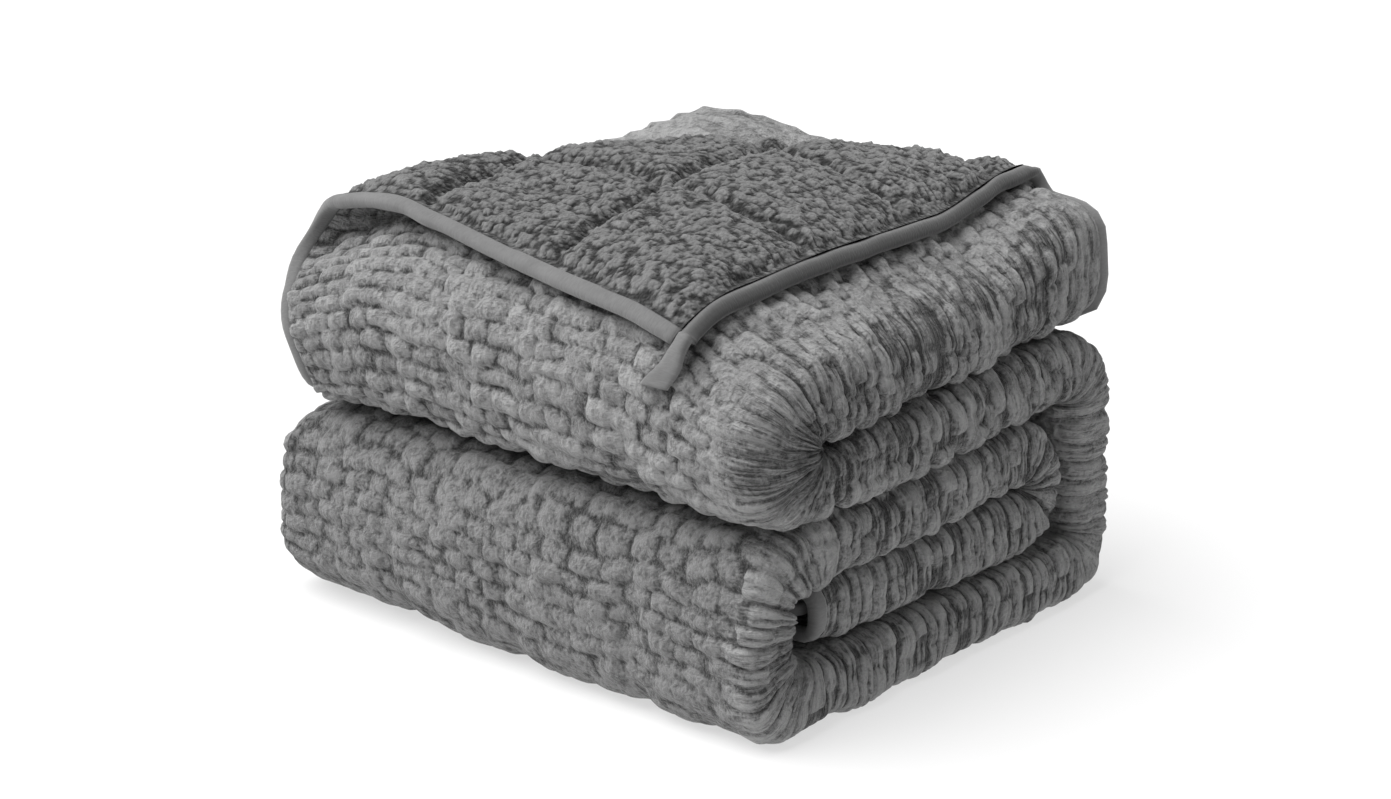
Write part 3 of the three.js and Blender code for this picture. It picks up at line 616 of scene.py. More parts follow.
def outer_length(v, ply, offset):
    """The length along the strip at each v of a dense row, on a ply's outer face."""
    y, z = Along(v).point(np.full_like(v, float(ply)))
    slope = unit(np.stack([np.gradient(y), np.gradient(z)], axis=-1))
    y = y + slope[:, 1] * offset
    z = z - slope[:, 0] * offset
    return np.concatenate([[0], np.cumsum(np.hypot(np.diff(y), np.diff(z)))])


def flat_place(across, along):
    """The two places in the flat cloth or tape as one vector, for patterns that follow it."""
    across, along = np.broadcast_arrays(across, along)
    return np.stack([across, along, np.zeros(across.shape)], axis=-1)


def sheet_object(name, points, attributes, outward, material, nodes):
    """One sheet through a grid of points, with a four-sided face in each cell and its values."""
    rows, columns = points.shape[:2]
    index = np.arange(rows * columns).reshape(rows, columns)
    corners = [index[:-1, :-1], index[1:, :-1], index[1:, 1:], index[:-1, 1:]]
    if not outward:
        corners.reverse()
    faces = np.stack(corners, axis=-1).reshape(-1, 4)
    return mesh_object(name, points.reshape(-1, 3), faces, attributes, material, nodes)


def mesh_object(name, points, faces, attributes, material, nodes):
    """A smooth mesh object at the origin that rides on the blanket and stands for CAD nodes."""
    mesh = bpy.data.meshes.new(name)
    mesh.vertices.add(len(points))
    mesh.vertices.foreach_set("co", np.ascontiguousarray(points, np.float32).ravel())
    mesh.loops.add(faces.size)
    mesh.loops.foreach_set("vertex_index", faces.astype(np.int32).ravel())
    mesh.polygons.add(len(faces))
    starts = np.arange(len(faces), dtype=np.int32) * faces.shape[1]
    mesh.polygons.foreach_set("loop_start", starts)
    mesh.polygons.foreach_set("use_smooth", np.ones(len(faces), bool))
    mesh.update(calc_edges=True)
    for key, values in attributes.items():
        kind = "FLOAT" if values.ndim < 3 else "FLOAT_VECTOR"
        field = "value" if kind == "FLOAT" else "vector"
        layer = mesh.attributes.new(key, kind, "POINT")
        layer.data.foreach_set(field, np.ascontiguousarray(values, np.float32).ravel())
    mesh.materials.append(material)
    piece = bpy.data.objects.new(name, mesh)
    bpy.context.scene.collection.objects.link(piece)
    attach(piece, "root")
    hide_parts(*nodes)
    return piece


# Settings that a user would change.


class WeaveSettings(bpy.types.PropertyGroup):
    """The sizes of the plush face's basket weave and of the sherpa's curls."""

    row: bpy.props.FloatProperty(
        name="Row", description="Size of a block of the weave along the strip",
        default=0.0145, min=0.005, max=0.05, unit="LENGTH",
    )
    block: bpy.props.FloatProperty(
        name="Block", description="Size of a block of the weave across the strip",
        default=0.026, min=0.01, max=0.1, unit="LENGTH",
    )
    relief: bpy.props.FloatProperty(
        name="Relief", description="Height of a block over the grooves round it",
        default=0.0058, min=0, max=0.02, unit="LENGTH",
    )
    curl: bpy.props.FloatProperty(
        name="Curl", description="Distance between the sherpa's curls",
        default=0.0082, min=0.003, max=0.02, unit="LENGTH",
    )
    curl_height: bpy.props.FloatProperty(
        name="Curl height", description="Height of a curl over the pits round it",
        default=0.0045, min=0, max=0.02, unit="LENGTH",
    )


class ColourSettings(bpy.types.PropertyGroup):
    """The colours of the cloth and of the studio."""

    plush: bpy.props.FloatVectorProperty(
        name="Plush", description="Colour of the plush on top of a block",
        default=(0.21, 0.21, 0.21), size=3, min=0, max=1, subtype="COLOR",
    )
    # Painted shade: the plush's colour deep in a groove, where shade falls.
    plush_painted_shade: bpy.props.FloatVectorProperty(
        name="Plush, deep", description="Colour of the plush down in a groove",
        default=(0.035, 0.035, 0.035), size=3, min=0, max=1, subtype="COLOR",
    )
    sherpa: bpy.props.FloatVectorProperty(
        name="Sherpa", description="Colour of the sherpa's curls",
        default=(0.140, 0.140, 0.140), size=3, min=0, max=1, subtype="COLOR",
    )
    # Painted shade: the sherpa's colour down in a pit between curls, where shade falls.
    sherpa_painted_shade: bpy.props.FloatVectorProperty(
        name="Sherpa, deep", description="Colour of the sherpa down in a pit",
        default=(0.022, 0.022, 0.022), size=3, min=0, max=1, subtype="COLOR",
    )
    binding: bpy.props.FloatVectorProperty(
        name="Binding", description="Colour of the binding tape",
        default=(0.165, 0.165, 0.165), size=3, min=0, max=1, subtype="COLOR",
    )
    floor: bpy.props.FloatVectorProperty(
        name="Floor", description="Colour of the studio floor",
        default=(0.93, 0.93, 0.93), size=3, min=0, max=1, subtype="COLOR",
    )


class StudioSettings(bpy.types.PropertyGroup):
    """The camera and the lights of the studio."""

    camera: bpy.props.FloatVectorProperty(
        name="Camera", description="Place of the camera",
        default=(1.3227, -1.5289, 0.818), size=3, subtype="TRANSLATION", unit="LENGTH",
    )
    heading: bpy.props.FloatProperty(
        name="Heading", description="Direction of the view, turned from +Y towards -X",
        default=math.radians(40.82), subtype="ANGLE", unit="ROTATION",
    )
    pitch: bpy.props.FloatProperty(
        name="Pitch", description="How far the camera looks down",
        default=math.radians(18.1), subtype="ANGLE", unit="ROTATION",
    )
    focal_length: bpy.props.FloatProperty(
        name="Focal length", description="Focal length of the lens, in millimetres",
        default=71.4, min=20, max=200,
    )
    key_strength: bpy.props.FloatProperty(
        name="Key light", description="Strength of the soft light from the upper left",
        default=4.5, min=0, max=20,
    )
    fill_strength: bpy.props.FloatProperty(
        name="Fill light", description="Strength of the light from all round",
        default=0.42, min=0, max=5,
    )


# Materials.

# The places of the Mix node's colour sockets among its inputs, and of its colour output.
MIX_SHARE = 0
MIX_A = 6
MIX_B = 7
MIX_COLOUR = 2

# Each cloth's finish: how far its bump stands out, its roughness, and the weight of its sheen.
PLUSH_FINISH = (0.0035, 0.95, 0.25)
SHERPA_FINISH = (0.0022, 0.97, 0.2)
BINDING_FINISH = (0.0008, 0.85, 0.3)
SHEEN_ROUGHNESS = 0.5
SPECULAR_LEVEL = 0.15

# Features per metre of each noise, along each axis where the noise is stretched.
RIB_SCALE = (34, 260, 1)
STREAK_SCALE = (150, 520, 1)
PILE_SCALE = 330
CLUMP_SCALE = 125
PATCH_SCALE = 38
LOOP_SCALE = 300.0
FUZZ_SCALE = 700
CURL_CLUMP_SCALE = 95
KNIT_SCALE = (900, 260, 1)
MOTTLE_SCALE = 60
FLOOR_MOTTLE_SCALE = 3.0

# How much lighter or darker than its setting a colour gets.
PLUSH_LIGHTEST = 1.7
SHERPA_LIGHTEST = 1.5
BINDING_DARKER = 0.72
# Painted shade on the tape where it turns down, away from the light.
BINDING_PAINTED_SHADE = 0.25
FLOOR_DARKER = 0.98
FLOOR_REFLECTED = 0.36
FLOOR_GLOW = 0.64


class Value:
    """A number that varies over a surface: a socket, with operators that add Math nodes."""

    def __init__(self, shader, socket):
        self.shader = shader
        self.socket = socket

    def _math(self, operation, *values):
        settings = {"operation": operation}
        return Value(self.shader, self.shader.node("Math", settings, dict(enumerate(values))))

    def __add__(self, other):
        return self._math("ADD", self, other)

    def __radd__(self, other):
        return self._math("ADD", other, self)

    def __sub__(self, other):
        return self._math("SUBTRACT", self, other)

    def __rsub__(self, other):
        return self._math("SUBTRACT", other, self)

    def __mul__(self, other):
        return self._math("MULTIPLY", self, other)

    def __rmul__(self, other):
        return self._math("MULTIPLY", other, self)

    def step(self, low, high):
        """0 below low, 1 above high, and a soft step between them."""
        settings = {"interpolation_type": "SMOOTHSTEP"}
        inputs = {"Value": self, "From Min": low, "From Max": high}
        return Value(self.shader, self.shader.node("MapRange", settings, inputs))


class Shader:
    """A material's node tree, with one method that adds any node."""

    def __init__(self, name):
        self.material = bpy.data.materials.new(name)
        self.material.use_nodes = True
        self.tree = self.material.node_tree
        self.tree.nodes.clear()

    def node(self, kind, settings, inputs, output=0):
        """Adds a node by its type, with its settings first, then values or links by socket."""
        made = self.tree.nodes.new("ShaderNode" + kind)
        for key, value in settings.items():
            setattr(made, key, value)
        for key, value in inputs.items():
            source = value.socket if isinstance(value, Value) else value
            if isinstance(source, bpy.types.NodeSocket):
                self.tree.links.new(source, made.inputs[key])
            else:
                made.inputs[key].default_value = source
        return made.outputs[output] if made.outputs else None

    def attribute(self, name, output="Fac"):
        """A value that the mesh carries at its points."""
        return Value(self, self.node("Attribute", {"attribute_name": name}, {}, output))

    def noise(self, vector, scale, detail=2.0, roughness=0.5):
        """Noise from 0 to 1 at a scale, in features per metre."""
        inputs = {"Vector": vector, "Scale": scale, "Detail": detail, "Roughness": roughness}
        return Value(self, self.node("TexNoise", {}, inputs, "Fac"))

    def stretched(self, vector, scale):
        """A vector scaled by its own amount along each axis."""
        return self.node("VectorMath", {"operation": "MULTIPLY"}, {0: vector, 1: scale})

    def blend(self, share, a, b):
        """The colour a share of the way from a to b."""
        inputs = {MIX_SHARE: share, MIX_A: a, MIX_B: b}
        return self.node("Mix", {"data_type": "RGBA"}, inputs, MIX_COLOUR)

    def finish(self, colour, height, finish):
        """The cloth itself: a rough surface with a soft sheen, and a bump from the heights."""
        distance, roughness, sheen = finish
        bump = self.node("Bump", {}, {"Strength": 1.0, "Distance": distance, "Height": height})
        inputs = {
            "Base Color": colour, "Normal": bump, "Roughness": roughness,
            "Sheen Weight": sheen, "Sheen Roughness": SHEEN_ROUGHNESS,
            "Specular IOR Level": SPECULAR_LEVEL,
        }
        return self.surface(inputs)

    def surface(self, inputs):
        """A surface from the values or links of its sockets, and the material that shows it."""
        surface = self.node("BsdfPrincipled", {}, inputs, "BSDF")
        self.node("OutputMaterial", {}, {"Surface": surface})
        return self.material


def opaque(colour, share=1.0):
    """A colour with a share of its light, or more than all of it, and its alpha."""
    return (*(channel * share for channel in colour), 1.0)


def plush_material(colours):
    """Plush: block tops lighter by their own tone and a painted highlight, grooves darkened by
    painted shade, painted light and shade low on the front, low on the right and on the hump, tone
    that changes from block to block, and pile that lies in short streaks round the strip. Each
    number beside a mask or a noise is its share in the depth, the light or the height."""
    shader = Shader("plush")
    place = shader.node("TexCoord", {}, {}, "Object")
    cloth = shader.node("Attribute", {"attribute_name": "cloth"}, {}, "Vector")
    hollow = shader.attribute("hollow")
    tone = shader.attribute("tone")
    side = shader.attribute("side")
    lip = shader.attribute("lip")
    painted_shading = shader.attribute("painted_shading")
    ribs = shader.noise(shader.stretched(cloth, RIB_SCALE), 1.0, 4.0, 0.6)
    streaks = shader.noise(shader.stretched(cloth, STREAK_SCALE), 1.0, 3.0, 0.6)
    pile = shader.noise(place, PILE_SCALE, 4.0, 0.65).step(0.25, 0.75)
    clumps = shader.noise(place, CLUMP_SCALE).step(0.33, 0.67)
    patches = shader.noise(place, PATCH_SCALE)
    lying = (ribs * side + streaks * (1 - side)).step(0.2, 0.8)
    clumped = (0.5 - clumps) * (0.45 - side * 0.3)
    uneven = (0.5 - pile) * 0.55 + clumped + (0.5 - lying) * (side * 1.1 + 0.2)
    # Painted shade: the grooves, the recess below the upper bundle's corner and the low front darken
    # towards the shaded colour.
    depth = (hollow + uneven + painted_shading * 0.12 + 0.05).step(0.0, 1.0)
    shade = shader.blend(depth, opaque(colours.plush), opaque(colours.plush_painted_shade))
    light = opaque(colours.plush, PLUSH_LIGHTEST)
    # Each block's own tone, with a painted highlight on its lip, on the hump and low on the right,
    # lighter only on block tops, out of the grooves' painted shade.
    tone_and_highlight = tone * 0.4 + patches * 0.5 + pile * 0.4 + clumps * 0.35
    tone_and_highlight = tone_and_highlight + lying * (side * 0.6 + 0.3) - side * 0.2
    tone_and_highlight = (tone_and_highlight + lip * 0.5 - painted_shading * 0.4 - 0.78).step(0.0, 0.9)
    colour = shader.blend(tone_and_highlight * (1 - hollow) * 0.85, shade, light)
    height = pile * 0.35 + clumps * 0.6 + lying * (side * 0.9 + 0.25)
    return shader.finish(colour, height, PLUSH_FINISH)


def sherpa_material(colours):
    """Sherpa: lighter curls over pits darkened by painted shade, painted shade in the creases and a
    painted shadow at the rim, with small loops that show as lumps in the bump.
    """
    shader = Shader("sherpa")
    place = shader.node("TexCoord", {}, {}, "Object")
    hollow = shader.attribute("hollow")
    tone = shader.attribute("tone")
    settings = {"feature": "SMOOTH_F1"}
    inputs = {"Vector": place, "Scale": LOOP_SCALE, "Smoothness": 0.4}
    loops = Value(shader, shader.node("TexVoronoi", settings, inputs, "Distance"))
    fuzz = shader.noise(place, FUZZ_SCALE, 3.0, 0.65)
    clumps = shader.noise(place, CURL_CLUMP_SCALE).step(0.33, 0.67)
    uneven = loops * 0.45 + (0.5 - fuzz) * 0.4 + (0.5 - clumps) * 0.25
    # Painted shade: the pits, the creases and the rim darken towards the shaded colour.
    depth = (hollow * 1.05 + uneven - 0.25).step(0.0, 0.85)
    shade = shader.blend(depth, opaque(colours.sherpa), opaque(colours.sherpa_painted_shade))
    light = opaque(colours.sherpa, SHERPA_LIGHTEST)
    lit = (tone * 0.6 + fuzz * 0.5 - 0.35).step(0.0, 0.8)
    colour = shader.blend(lit * (1 - depth) * 0.7, shade, light)
    height = (1 - loops) * 0.9 + fuzz * 0.4
    return shader.finish(colour, height, SHERPA_FINISH)


def binding_material(colours):
    """Binding tape: a smooth knit with fine ribs along it and a faint mottling, with painted shade
    where the tape turns down, away from the light."""
    shader = Shader("binding")
    place = shader.node("TexCoord", {}, {}, "Object")
    tape = shader.node("Attribute", {"attribute_name": "tape"}, {}, "Vector")
    knit = shader.noise(shader.stretched(tape, KNIT_SCALE), 1.0)
    mottle = shader.noise(place, MOTTLE_SCALE)
    base = opaque(colours.binding)
    shade = (knit * 0.5 + mottle * 0.5).step(0.25, 0.8)
    colour = shader.blend(shade, opaque(colours.binding, BINDING_DARKER), base)
    # Painted shade where the tape droops and faces away from the light.
    under = shader.attribute("under")
    colour = shader.blend(under * 0.9, colour, opaque(colours.binding, BINDING_PAINTED_SHADE))
    return shader.finish(colour, knit * 0.6 + mottle * 0.2, BINDING_FINISH)


def floor_material(colours):
    """The studio floor: plain, matt and pale, with an even, very slight mottling."""
    shader = Shader("studio_floor")
    place = shader.node("TexCoord", {}, {}, "Object")
    mottle = shader.noise(place, FLOOR_MOTTLE_SCALE, 1.0)
    base = opaque(colours.floor)
    colour = shader.blend(mottle * 0.2, base, opaque(colours.floor, FLOOR_DARKER))
    return shader.surface({
        "Base Color": opaque(colours.floor, FLOOR_REFLECTED), "Roughness": 1.0,
        "Specular IOR Level": 0.0, "Emission Color": colour, "Emission Strength": FLOOR_GLOW,
    })


# The plush face.

# How the weave is uneven, in rows or blocks for its wander, and in metres for how far a change
# reaches. Each power says how flat a block's top is and how steep its sides are. Then the lip of a
# block, where the pile stands up and a painted highlight lies, where the painted shade of its
# grooves deepens, the lumps of the pile, and the ribs on the side folds.
ROW_WANDER = 0.36
ROW_WANDER_REACH = 0.042
RIB_BUNCH = 0.70
RIB_REACH = 0.034
RIB_STRETCH = 0.22
RIB_GAP = 0.35
BLOCK_WANDER = 0.22
BLOCK_WANDER_REACH = 0.045
BLOCK_SHIFT = 0.25
GROOVE_REACH = 0.024
ROW_GROOVE_LEAST = 0.45
BLOCK_GROOVE_LEAST = 0.50
ROW_POWER = 2.0
BLOCK_POWER = 2.6
DOME_POWER = 0.65
RIB_SPLIT_LEAST = 0.25
RIB_SPLIT_MOST = 0.90
RIB_SPLIT_REACH = 0.030
BLOCK_TILT = 0.4
BLOCK_LEAST = 0.60
BLOCK_MOST = 1.30
LIP_AT = 0.78
LIP_WIDTH = 0.20
HOLLOW_FROM = 0.74
HOLLOW_DEPTH = 0.66
SIDE_HOLLOW_DEPTH = 0.46
PILE_LUMPS = 0.0009
PILE_LUMP_REACH = 0.0075
SIDE_FROM = 0.200
SIDE_WIDTH = 0.026
SIDE_RELIEF = 1.6
LEFT_SIDE = 0.35

# The share of the relief that is left inside the bundle, the height of the weave that lies level
# with the bare cloth, the rim that the binding presses, and the cloth's own unevenness.
COVERED_RELIEF = 0.12
LEVEL_HEIGHT = 0.55
PLUSH_RIM = 0.010
UNEVEN = 0.0015
PLUSH_UNEVEN_REACH = 0.04

# Where the plush stands free: beyond these places on the right, the left, the front and the back,
# on top to a little past the turned-over corner's fold line, and on the middle ply beyond it.
AIR_SIDE_X = 0.214
AIR_FRONT_Y = -0.158
AIR_FADE = 0.016
AIR_BACK_Y = 0.160
AIR_BACK_FADE = 0.014
AIR_TOP_TO = 0.03
AIR_BARE_FROM = 0.005
AIR_BARE_FADE = 0.03

# The grid: lines in each row and each block of the weave, and points that a stretch's length is
# measured with.
LINES_PER_ROW = 6
LINES_PER_BLOCK = 10
LENGTH_POINTS = 2001

# The same grid's spans, by their places round the strip from the middle of the right fold, and
# the step of the coarse ones. The fine third ply runs on past the left fold's first lines, so
# that the grid doubles back over itself between the two places.
FIRST_RIM = -0.504
FOLD_END = 0.070
THIRD_END = 0.480
FINE_THIRD_END = 0.500
LEFT_END = 0.560
MIDDLE_RIM = 0.960
COARSE_STEP = 0.014

# Places where the weave is smoother: the near right corner, the far corners, and low on the front.
PILLOW_X = 0.180
PILLOW_Y = -0.165
PILLOW_FADE = 0.030
PILLOW_CALM = 0.60
LOW_PILLOW_CALM = 0.30
FAR_Y = 0.150
FAR_CALM = 0.55
LOW_FRONT_CALM = 0.18

# Painted light and shade for how the light falls: painted shade low on the front, and a painted
# highlight low on the right and on the hump. Low is below the first height, and the front is before
# the place given.
LOW_TOP = 0.140
FRONT_BEFORE_Y = -0.130
LOW_FRONT_FADE = 0.040
PAINTED_LIGHT_SHARE = 0.6
PAINTED_SHADE_SHARE = 1.35

# Painted shadow in the recess below the near corner of the upper bundle, where it overhangs.
RECESS_Y = 0.020
RECESS_FADE = 0.140
RECESS_Z = 0.212
RECESS_HEIGHT = 0.042
RECESS_SHADE = 0.60

# How much less relief the weave has on the hump, and where it is pressed flat near the floor.
HUMP_CALM = 0.65
HUMP_CALM_FROM = 0.020
HUMP_CALM_RISE = 0.040
HUMP_CALM_TO = 0.100
FOOT_RELIEF = 0.35
FOOT_RELIEF_RISE = 0.070


class Plush:
    """One stretch of the plush face: its grid on the cloth, and the weave that stands on it."""

    def __init__(self, weave, spans, v_from, v_to, ply, first_row):
        """Lays the grid: rows of the weave along the strip, and lines at distances round it."""
        self.weave = weave
        dense = np.linspace(v_from, v_to, LENGTH_POINTS)
        length = outer_length(dense, ply, HALF_PLY)
        rows = max(1, round(length[-1] / weave.row))
        along_rows = np.arange(rows * LINES_PER_ROW + 1) / LINES_PER_ROW
        self.v = np.interp(along_rows / rows * length[-1], length, dense)[:, None]
        self.row = along_rows[:, None] + first_row
        self.last_row = first_row + rows
        self.place = lines(*spans)[None, :]
        self.along = Along(self.v)
        self.u = u_at(self.place * self.reach(), self.along)

    def reach(self):
        """How much the lines stretch, so that the first and last of them lie on the rims."""
        first, fold, third, left, middle = ply_lengths(self.along)
        before = first + fold / 2
        after = fold / 2 + third + left + middle
        return np.where(self.place < 0, before / -FIRST_RIM, after / MIDDLE_RIM)

    def blocks(self, side):
        """The weave: staggered blocks, each 1 on its top and lower in the grooves round it. The
        rows and columns wander, and the depth of each groove changes along it, so that some
        blocks run together. On the side folds the rows bunch up into ribs with few gaps.
        Gives the height, each block's own chance, and the lip. The last number of each drift
        and chance is its seed."""
        strip = self.row * self.weave.row
        wander = drift(self.place, strip, ROW_WANDER_REACH, 41)
        wander = wander + drift(self.place, strip, ROW_WANDER_REACH / 2, 42) / 2
        bunch = drift(strip, self.place * RIB_STRETCH, RIB_REACH, 43)
        row_at = self.row + mix(ROW_WANDER * wander, RIB_BUNCH * bunch, side)
        row = np.floor(row_at)
        s = 2 * (row_at - row) - 1
        wander = BLOCK_WANDER * drift(self.place, strip, BLOCK_WANDER_REACH, 11)
        uneven = BLOCK_SHIFT * chance(row, row, 13)
        block_at = self.place / self.weave.block + 0.5 * np.mod(row, 2) + wander + uneven
        column = np.floor(block_at)
        t = 2 * (block_at - column) - 1
        own = chance(row, column, 3)
        closes = waver(self.place, strip, GROOVE_REACH, 44)
        row_groove = mix(mix(ROW_GROOVE_LEAST, 1, closes), 1, side)
        closes = waver(self.place, strip, GROOVE_REACH, 45)
        block_groove = mix(mix(BLOCK_GROOVE_LEAST, 1, closes), RIB_GAP, side)
        over_row = 1 - row_groove * np.abs(s) ** ROW_POWER
        over_block = 1 - block_groove * np.abs(t) ** BLOCK_POWER
        splits = waver(self.place, strip, RIB_SPLIT_REACH, 46)
        splits = mix(RIB_SPLIT_LEAST, RIB_SPLIT_MOST, splits)
        rib = np.abs(2 * np.mod(2 * row_at, 1) - 1)
        over_row = over_row * (1 - splits * side * rib ** ROW_POWER)
        dome_height = (over_row * over_block) ** DOME_POWER
        tilt = BLOCK_TILT * (chance(row, column, 5) - 0.5) * t
        height = dome_height * (mix(BLOCK_LEAST, BLOCK_MOST, own) + tilt)
        lip = over_row * np.exp(-(((t - LIP_AT) / LIP_WIDTH) ** 2)) * chance(row, column, 6)
        return height, own, lip * (1 - side)


def bare_height(u, v):
    """The plush face without its weave, over the middle of the cloth."""
    return SEAM_GAP / 2 + thickness(u, v)


def open_air(u, v, point):
    """How freely the plush stands, from 0 inside the bundle to 1 where it shows: on the side
    folds, on the turns, on top, and on the middle ply beyond the turned-over corner."""
    x, y = point[..., 0], point[..., 1]
    sides = smooth((np.abs(x) - AIR_SIDE_X) / AIR_FADE)
    front = smooth((AIR_FRONT_Y - y) / AIR_FADE)
    back = smooth((y - AIR_BACK_Y) / AIR_BACK_FADE)
    along = Along(v)
    third = (u > PLY_START[RIGHT_FOLD]) & (u < PLY_START[MIDDLE])
    outer_back = back * np.where(third | (along.bend == TOP_END), 1, 0)
    level = from_turn(x, along.level_y)[0]
    on_top = (v < TURN_END) & (u < PLY_START[RIGHT_FOLD])
    top = np.where(on_top & (level < AIR_TOP_TO), 1, 0)
    middle = (along.bend == TOP_END) & (u > PLY_START[LEFT_FOLD])
    past_line = smooth((from_turn(x, y)[0] - AIR_BARE_FROM) / AIR_BARE_FADE)
    bare = np.where(middle, past_line, 0)
    return np.clip(np.maximum.reduce([sides, front, outer_back, top, bare]), 0, 1)


def on_floor(u, v):
    """Whether a place is on the underside of the floor layer, which lies flat."""
    along = Along(v)
    return (along.bend == FAR_LOWER) & (along.turned >= 1) & (ply_at(u) == THIRD)


def hump_share(along, x, y):
    """The hump of the top layer behind the turned-over corner: a soft step up across it, times
    one down."""
    beyond = np.where(along.bend == TOP_END, from_turn(x, y)[0], 0)
    hump = smooth((beyond - HUMP_CALM_FROM) / HUMP_CALM_RISE)
    return hump * (1 - smooth((beyond - HUMP_CALM_TO) / HUMP_CALM_RISE))


def smoother(x, y, low, front):
    """How much smoother the weave is at the near right corner, at the far corners and low on the
    front: each a product of soft steps, and the largest of them counts."""
    near = smooth((x - PILLOW_X) / PILLOW_FADE) * smooth((PILLOW_Y - y) / PILLOW_FADE)
    near = near * mix(PILLOW_CALM, LOW_PILLOW_CALM, low)
    far = smooth((np.abs(x) - PILLOW_X) / PILLOW_FADE) * smooth((y - FAR_Y) / PILLOW_FADE)
    return np.maximum(np.maximum(near, FAR_CALM * far), LOW_FRONT_CALM * low * front)


def make_plush(name, plush, material):
    """Raises the weave over the plush face, and makes the sheet.

    The height over the middle of the cloth is the panel's thickness, plus the weave's relief,
    less on the hump, at the corners and at the foot, plus two slow wavinesses. What the material
    needs goes with it: the painted shade of the hollows with the painted shadow of the recess, each
    block's tone and lip, the side folds, the painted light and shade low on the front, low on the
    right and on the hump, and the place in the cloth."""
    u, v = np.broadcast_arrays(plush.u, plush.v)
    point = cloth_point(u, v)
    x, y, z = np.moveaxis(point, -1, 0)
    normal = cloth_normal(u, v)
    side = smooth((np.abs(x) - SIDE_FROM) / SIDE_WIDTH) * np.where(x > 0, 1, LEFT_SIDE)
    height, own, lip = plush.blocks(side)
    free = open_air(u, v, point) * smooth(to_rim(u, v) / PLUSH_RIM)
    hump = hump_share(plush.along, x, y)
    low = 1 - smooth((z - LOW_TOP) / LOW_FRONT_FADE)
    front = smooth((FRONT_BEFORE_Y - y) / LOW_FRONT_FADE)
    pillow = smoother(x, y, low, front)
    relief = plush.weave.relief * mix(COVERED_RELIEF, 1, free) * (height - LEVEL_HEIGHT)
    relief = relief * mix(1, SIDE_RELIEF, side) * (1 - HUMP_CALM * hump) * (1 - pillow)
    relief = relief * mix(FOOT_RELIEF, 1, smooth(z / FOOT_RELIEF_RISE))
    right = side * (x > 0)
    # Painted light and shade: darker low on the front, lighter low on the right and on the hump.
    painted_shading = low * mix(PAINTED_SHADE_SHARE * front, -PAINTED_LIGHT_SHARE, right) - PAINTED_LIGHT_SHARE * hump
    # Painted shadow below the upper bundle's near corner, where it overhangs the layer under it.
    recess = right * smooth((RECESS_Y - y) / RECESS_FADE)
    recess = recess * (1 - smooth(np.abs(z - RECESS_Z) / RECESS_HEIGHT))
    uneven = UNEVEN * drift(u, v, PLUSH_UNEVEN_REACH, 7) * free
    uneven = uneven + PILE_LUMPS * drift(u, v, PILE_LUMP_REACH, 8) * free
    over = bare_height(u, v) + relief + uneven
    placed = settle(point + normal * over[..., None])
    placed[..., 2] = np.where(on_floor(u, v), 0.0, np.maximum(placed[..., 2], 0.0))
    # Painted shade in the grooves round each block, less on the hump and where the weave is
    # smoother.
    hollow = smooth((HOLLOW_FROM - height) / mix(HOLLOW_DEPTH, SIDE_HOLLOW_DEPTH, side))
    hollow = hollow * (1 - HUMP_CALM * hump) * (1 - pillow)
    attributes = {
        "hollow": np.maximum(hollow, RECESS_SHADE * recess),
        "tone": own,
        "side": side,
        "lip": lip,
        "painted_shading": painted_shading,
        "cloth": flat_place(plush.place, plush.row * plush.weave.row),
    }
    piece = sheet_object(name, placed, attributes, True, material, ["plush_panel"])


class BLANKET_OT_plush(bpy.types.Operator):
    """Makes the plush face in four stretches of the strip"""

    bl_idname = "blanket.plush"
    bl_label = "Plush face"

    def execute(self, context):
        settings = context.scene.blanket_weave
        material = plush_material(context.scene.blanket_colours)
        fine = settings.block / LINES_PER_BLOCK
        ends = BENDS["place"] + BENDS["cloth"]
        back_end = ends[FAR_LOWER]
        front_end = ends[NEAR_LOWER]
        first = (FIRST_RIM, -FOLD_END, fine)
        coarse_first = (FIRST_RIM, -FOLD_END, COARSE_STEP)
        fold = (-FOLD_END, FOLD_END, fine)
        third = (FOLD_END, FINE_THIRD_END, fine)
        coarse_third = (FOLD_END, THIRD_END, COARSE_STEP)
        left = (THIRD_END, LEFT_END, fine)
        middle = (LEFT_END, MIDDLE_RIM, COARSE_STEP)
        top_spans = [first, fold, coarse_third, left, middle]
        outer_spans = [coarse_first, fold, third, left, middle]
        inner_spans = [coarse_first, fold, coarse_third, left, middle]
        top = Plush(settings, top_spans, 0, TURN_END, 1, 0)
        back = Plush(settings, outer_spans, TURN_END, back_end, -1, top.last_row)
        front = Plush(settings, outer_spans, back_end, front_end, -1, back.last_row)
        inner = Plush(settings, inner_spans, front_end, FLAT_LENGTH, -1, front.last_row)
        make_plush("plush_top", top, material)
        make_plush("plush_back", back, material)
        make_plush("plush_front", front, material)
        make_plush("plush_inner", inner, material)
        return {"FINISHED"}


# The sherpa back.

# The curls: how far their grid is turned and bent, how wide the gaps between them are, how round
# each is on top, and a distance beyond any of theirs. Curls of three sizes are added, each by its
# share, and lowered. A curl's own height is uneven, and then the level of the cloth is taken off.
CURL_SLANT = 0.6
CURL_BEND = 0.35
CURL_GAP = 0.55
CURL_ROUND = 0.35
FAR_AWAY = 9.0
CURL_SHARE = 0.60
FINE_CURL = 0.55
FINE_CURL_SHARE = 0.25
TUFT = 2.1
TUFT_SHARE = 0.35
CURL_LOWER = 0.15
LEAST_CURL = 0.7
CURL_UNEVEN = 0.6
CURL_LEVEL = 0.45
SHERPA_UNEVEN_REACH = 0.035

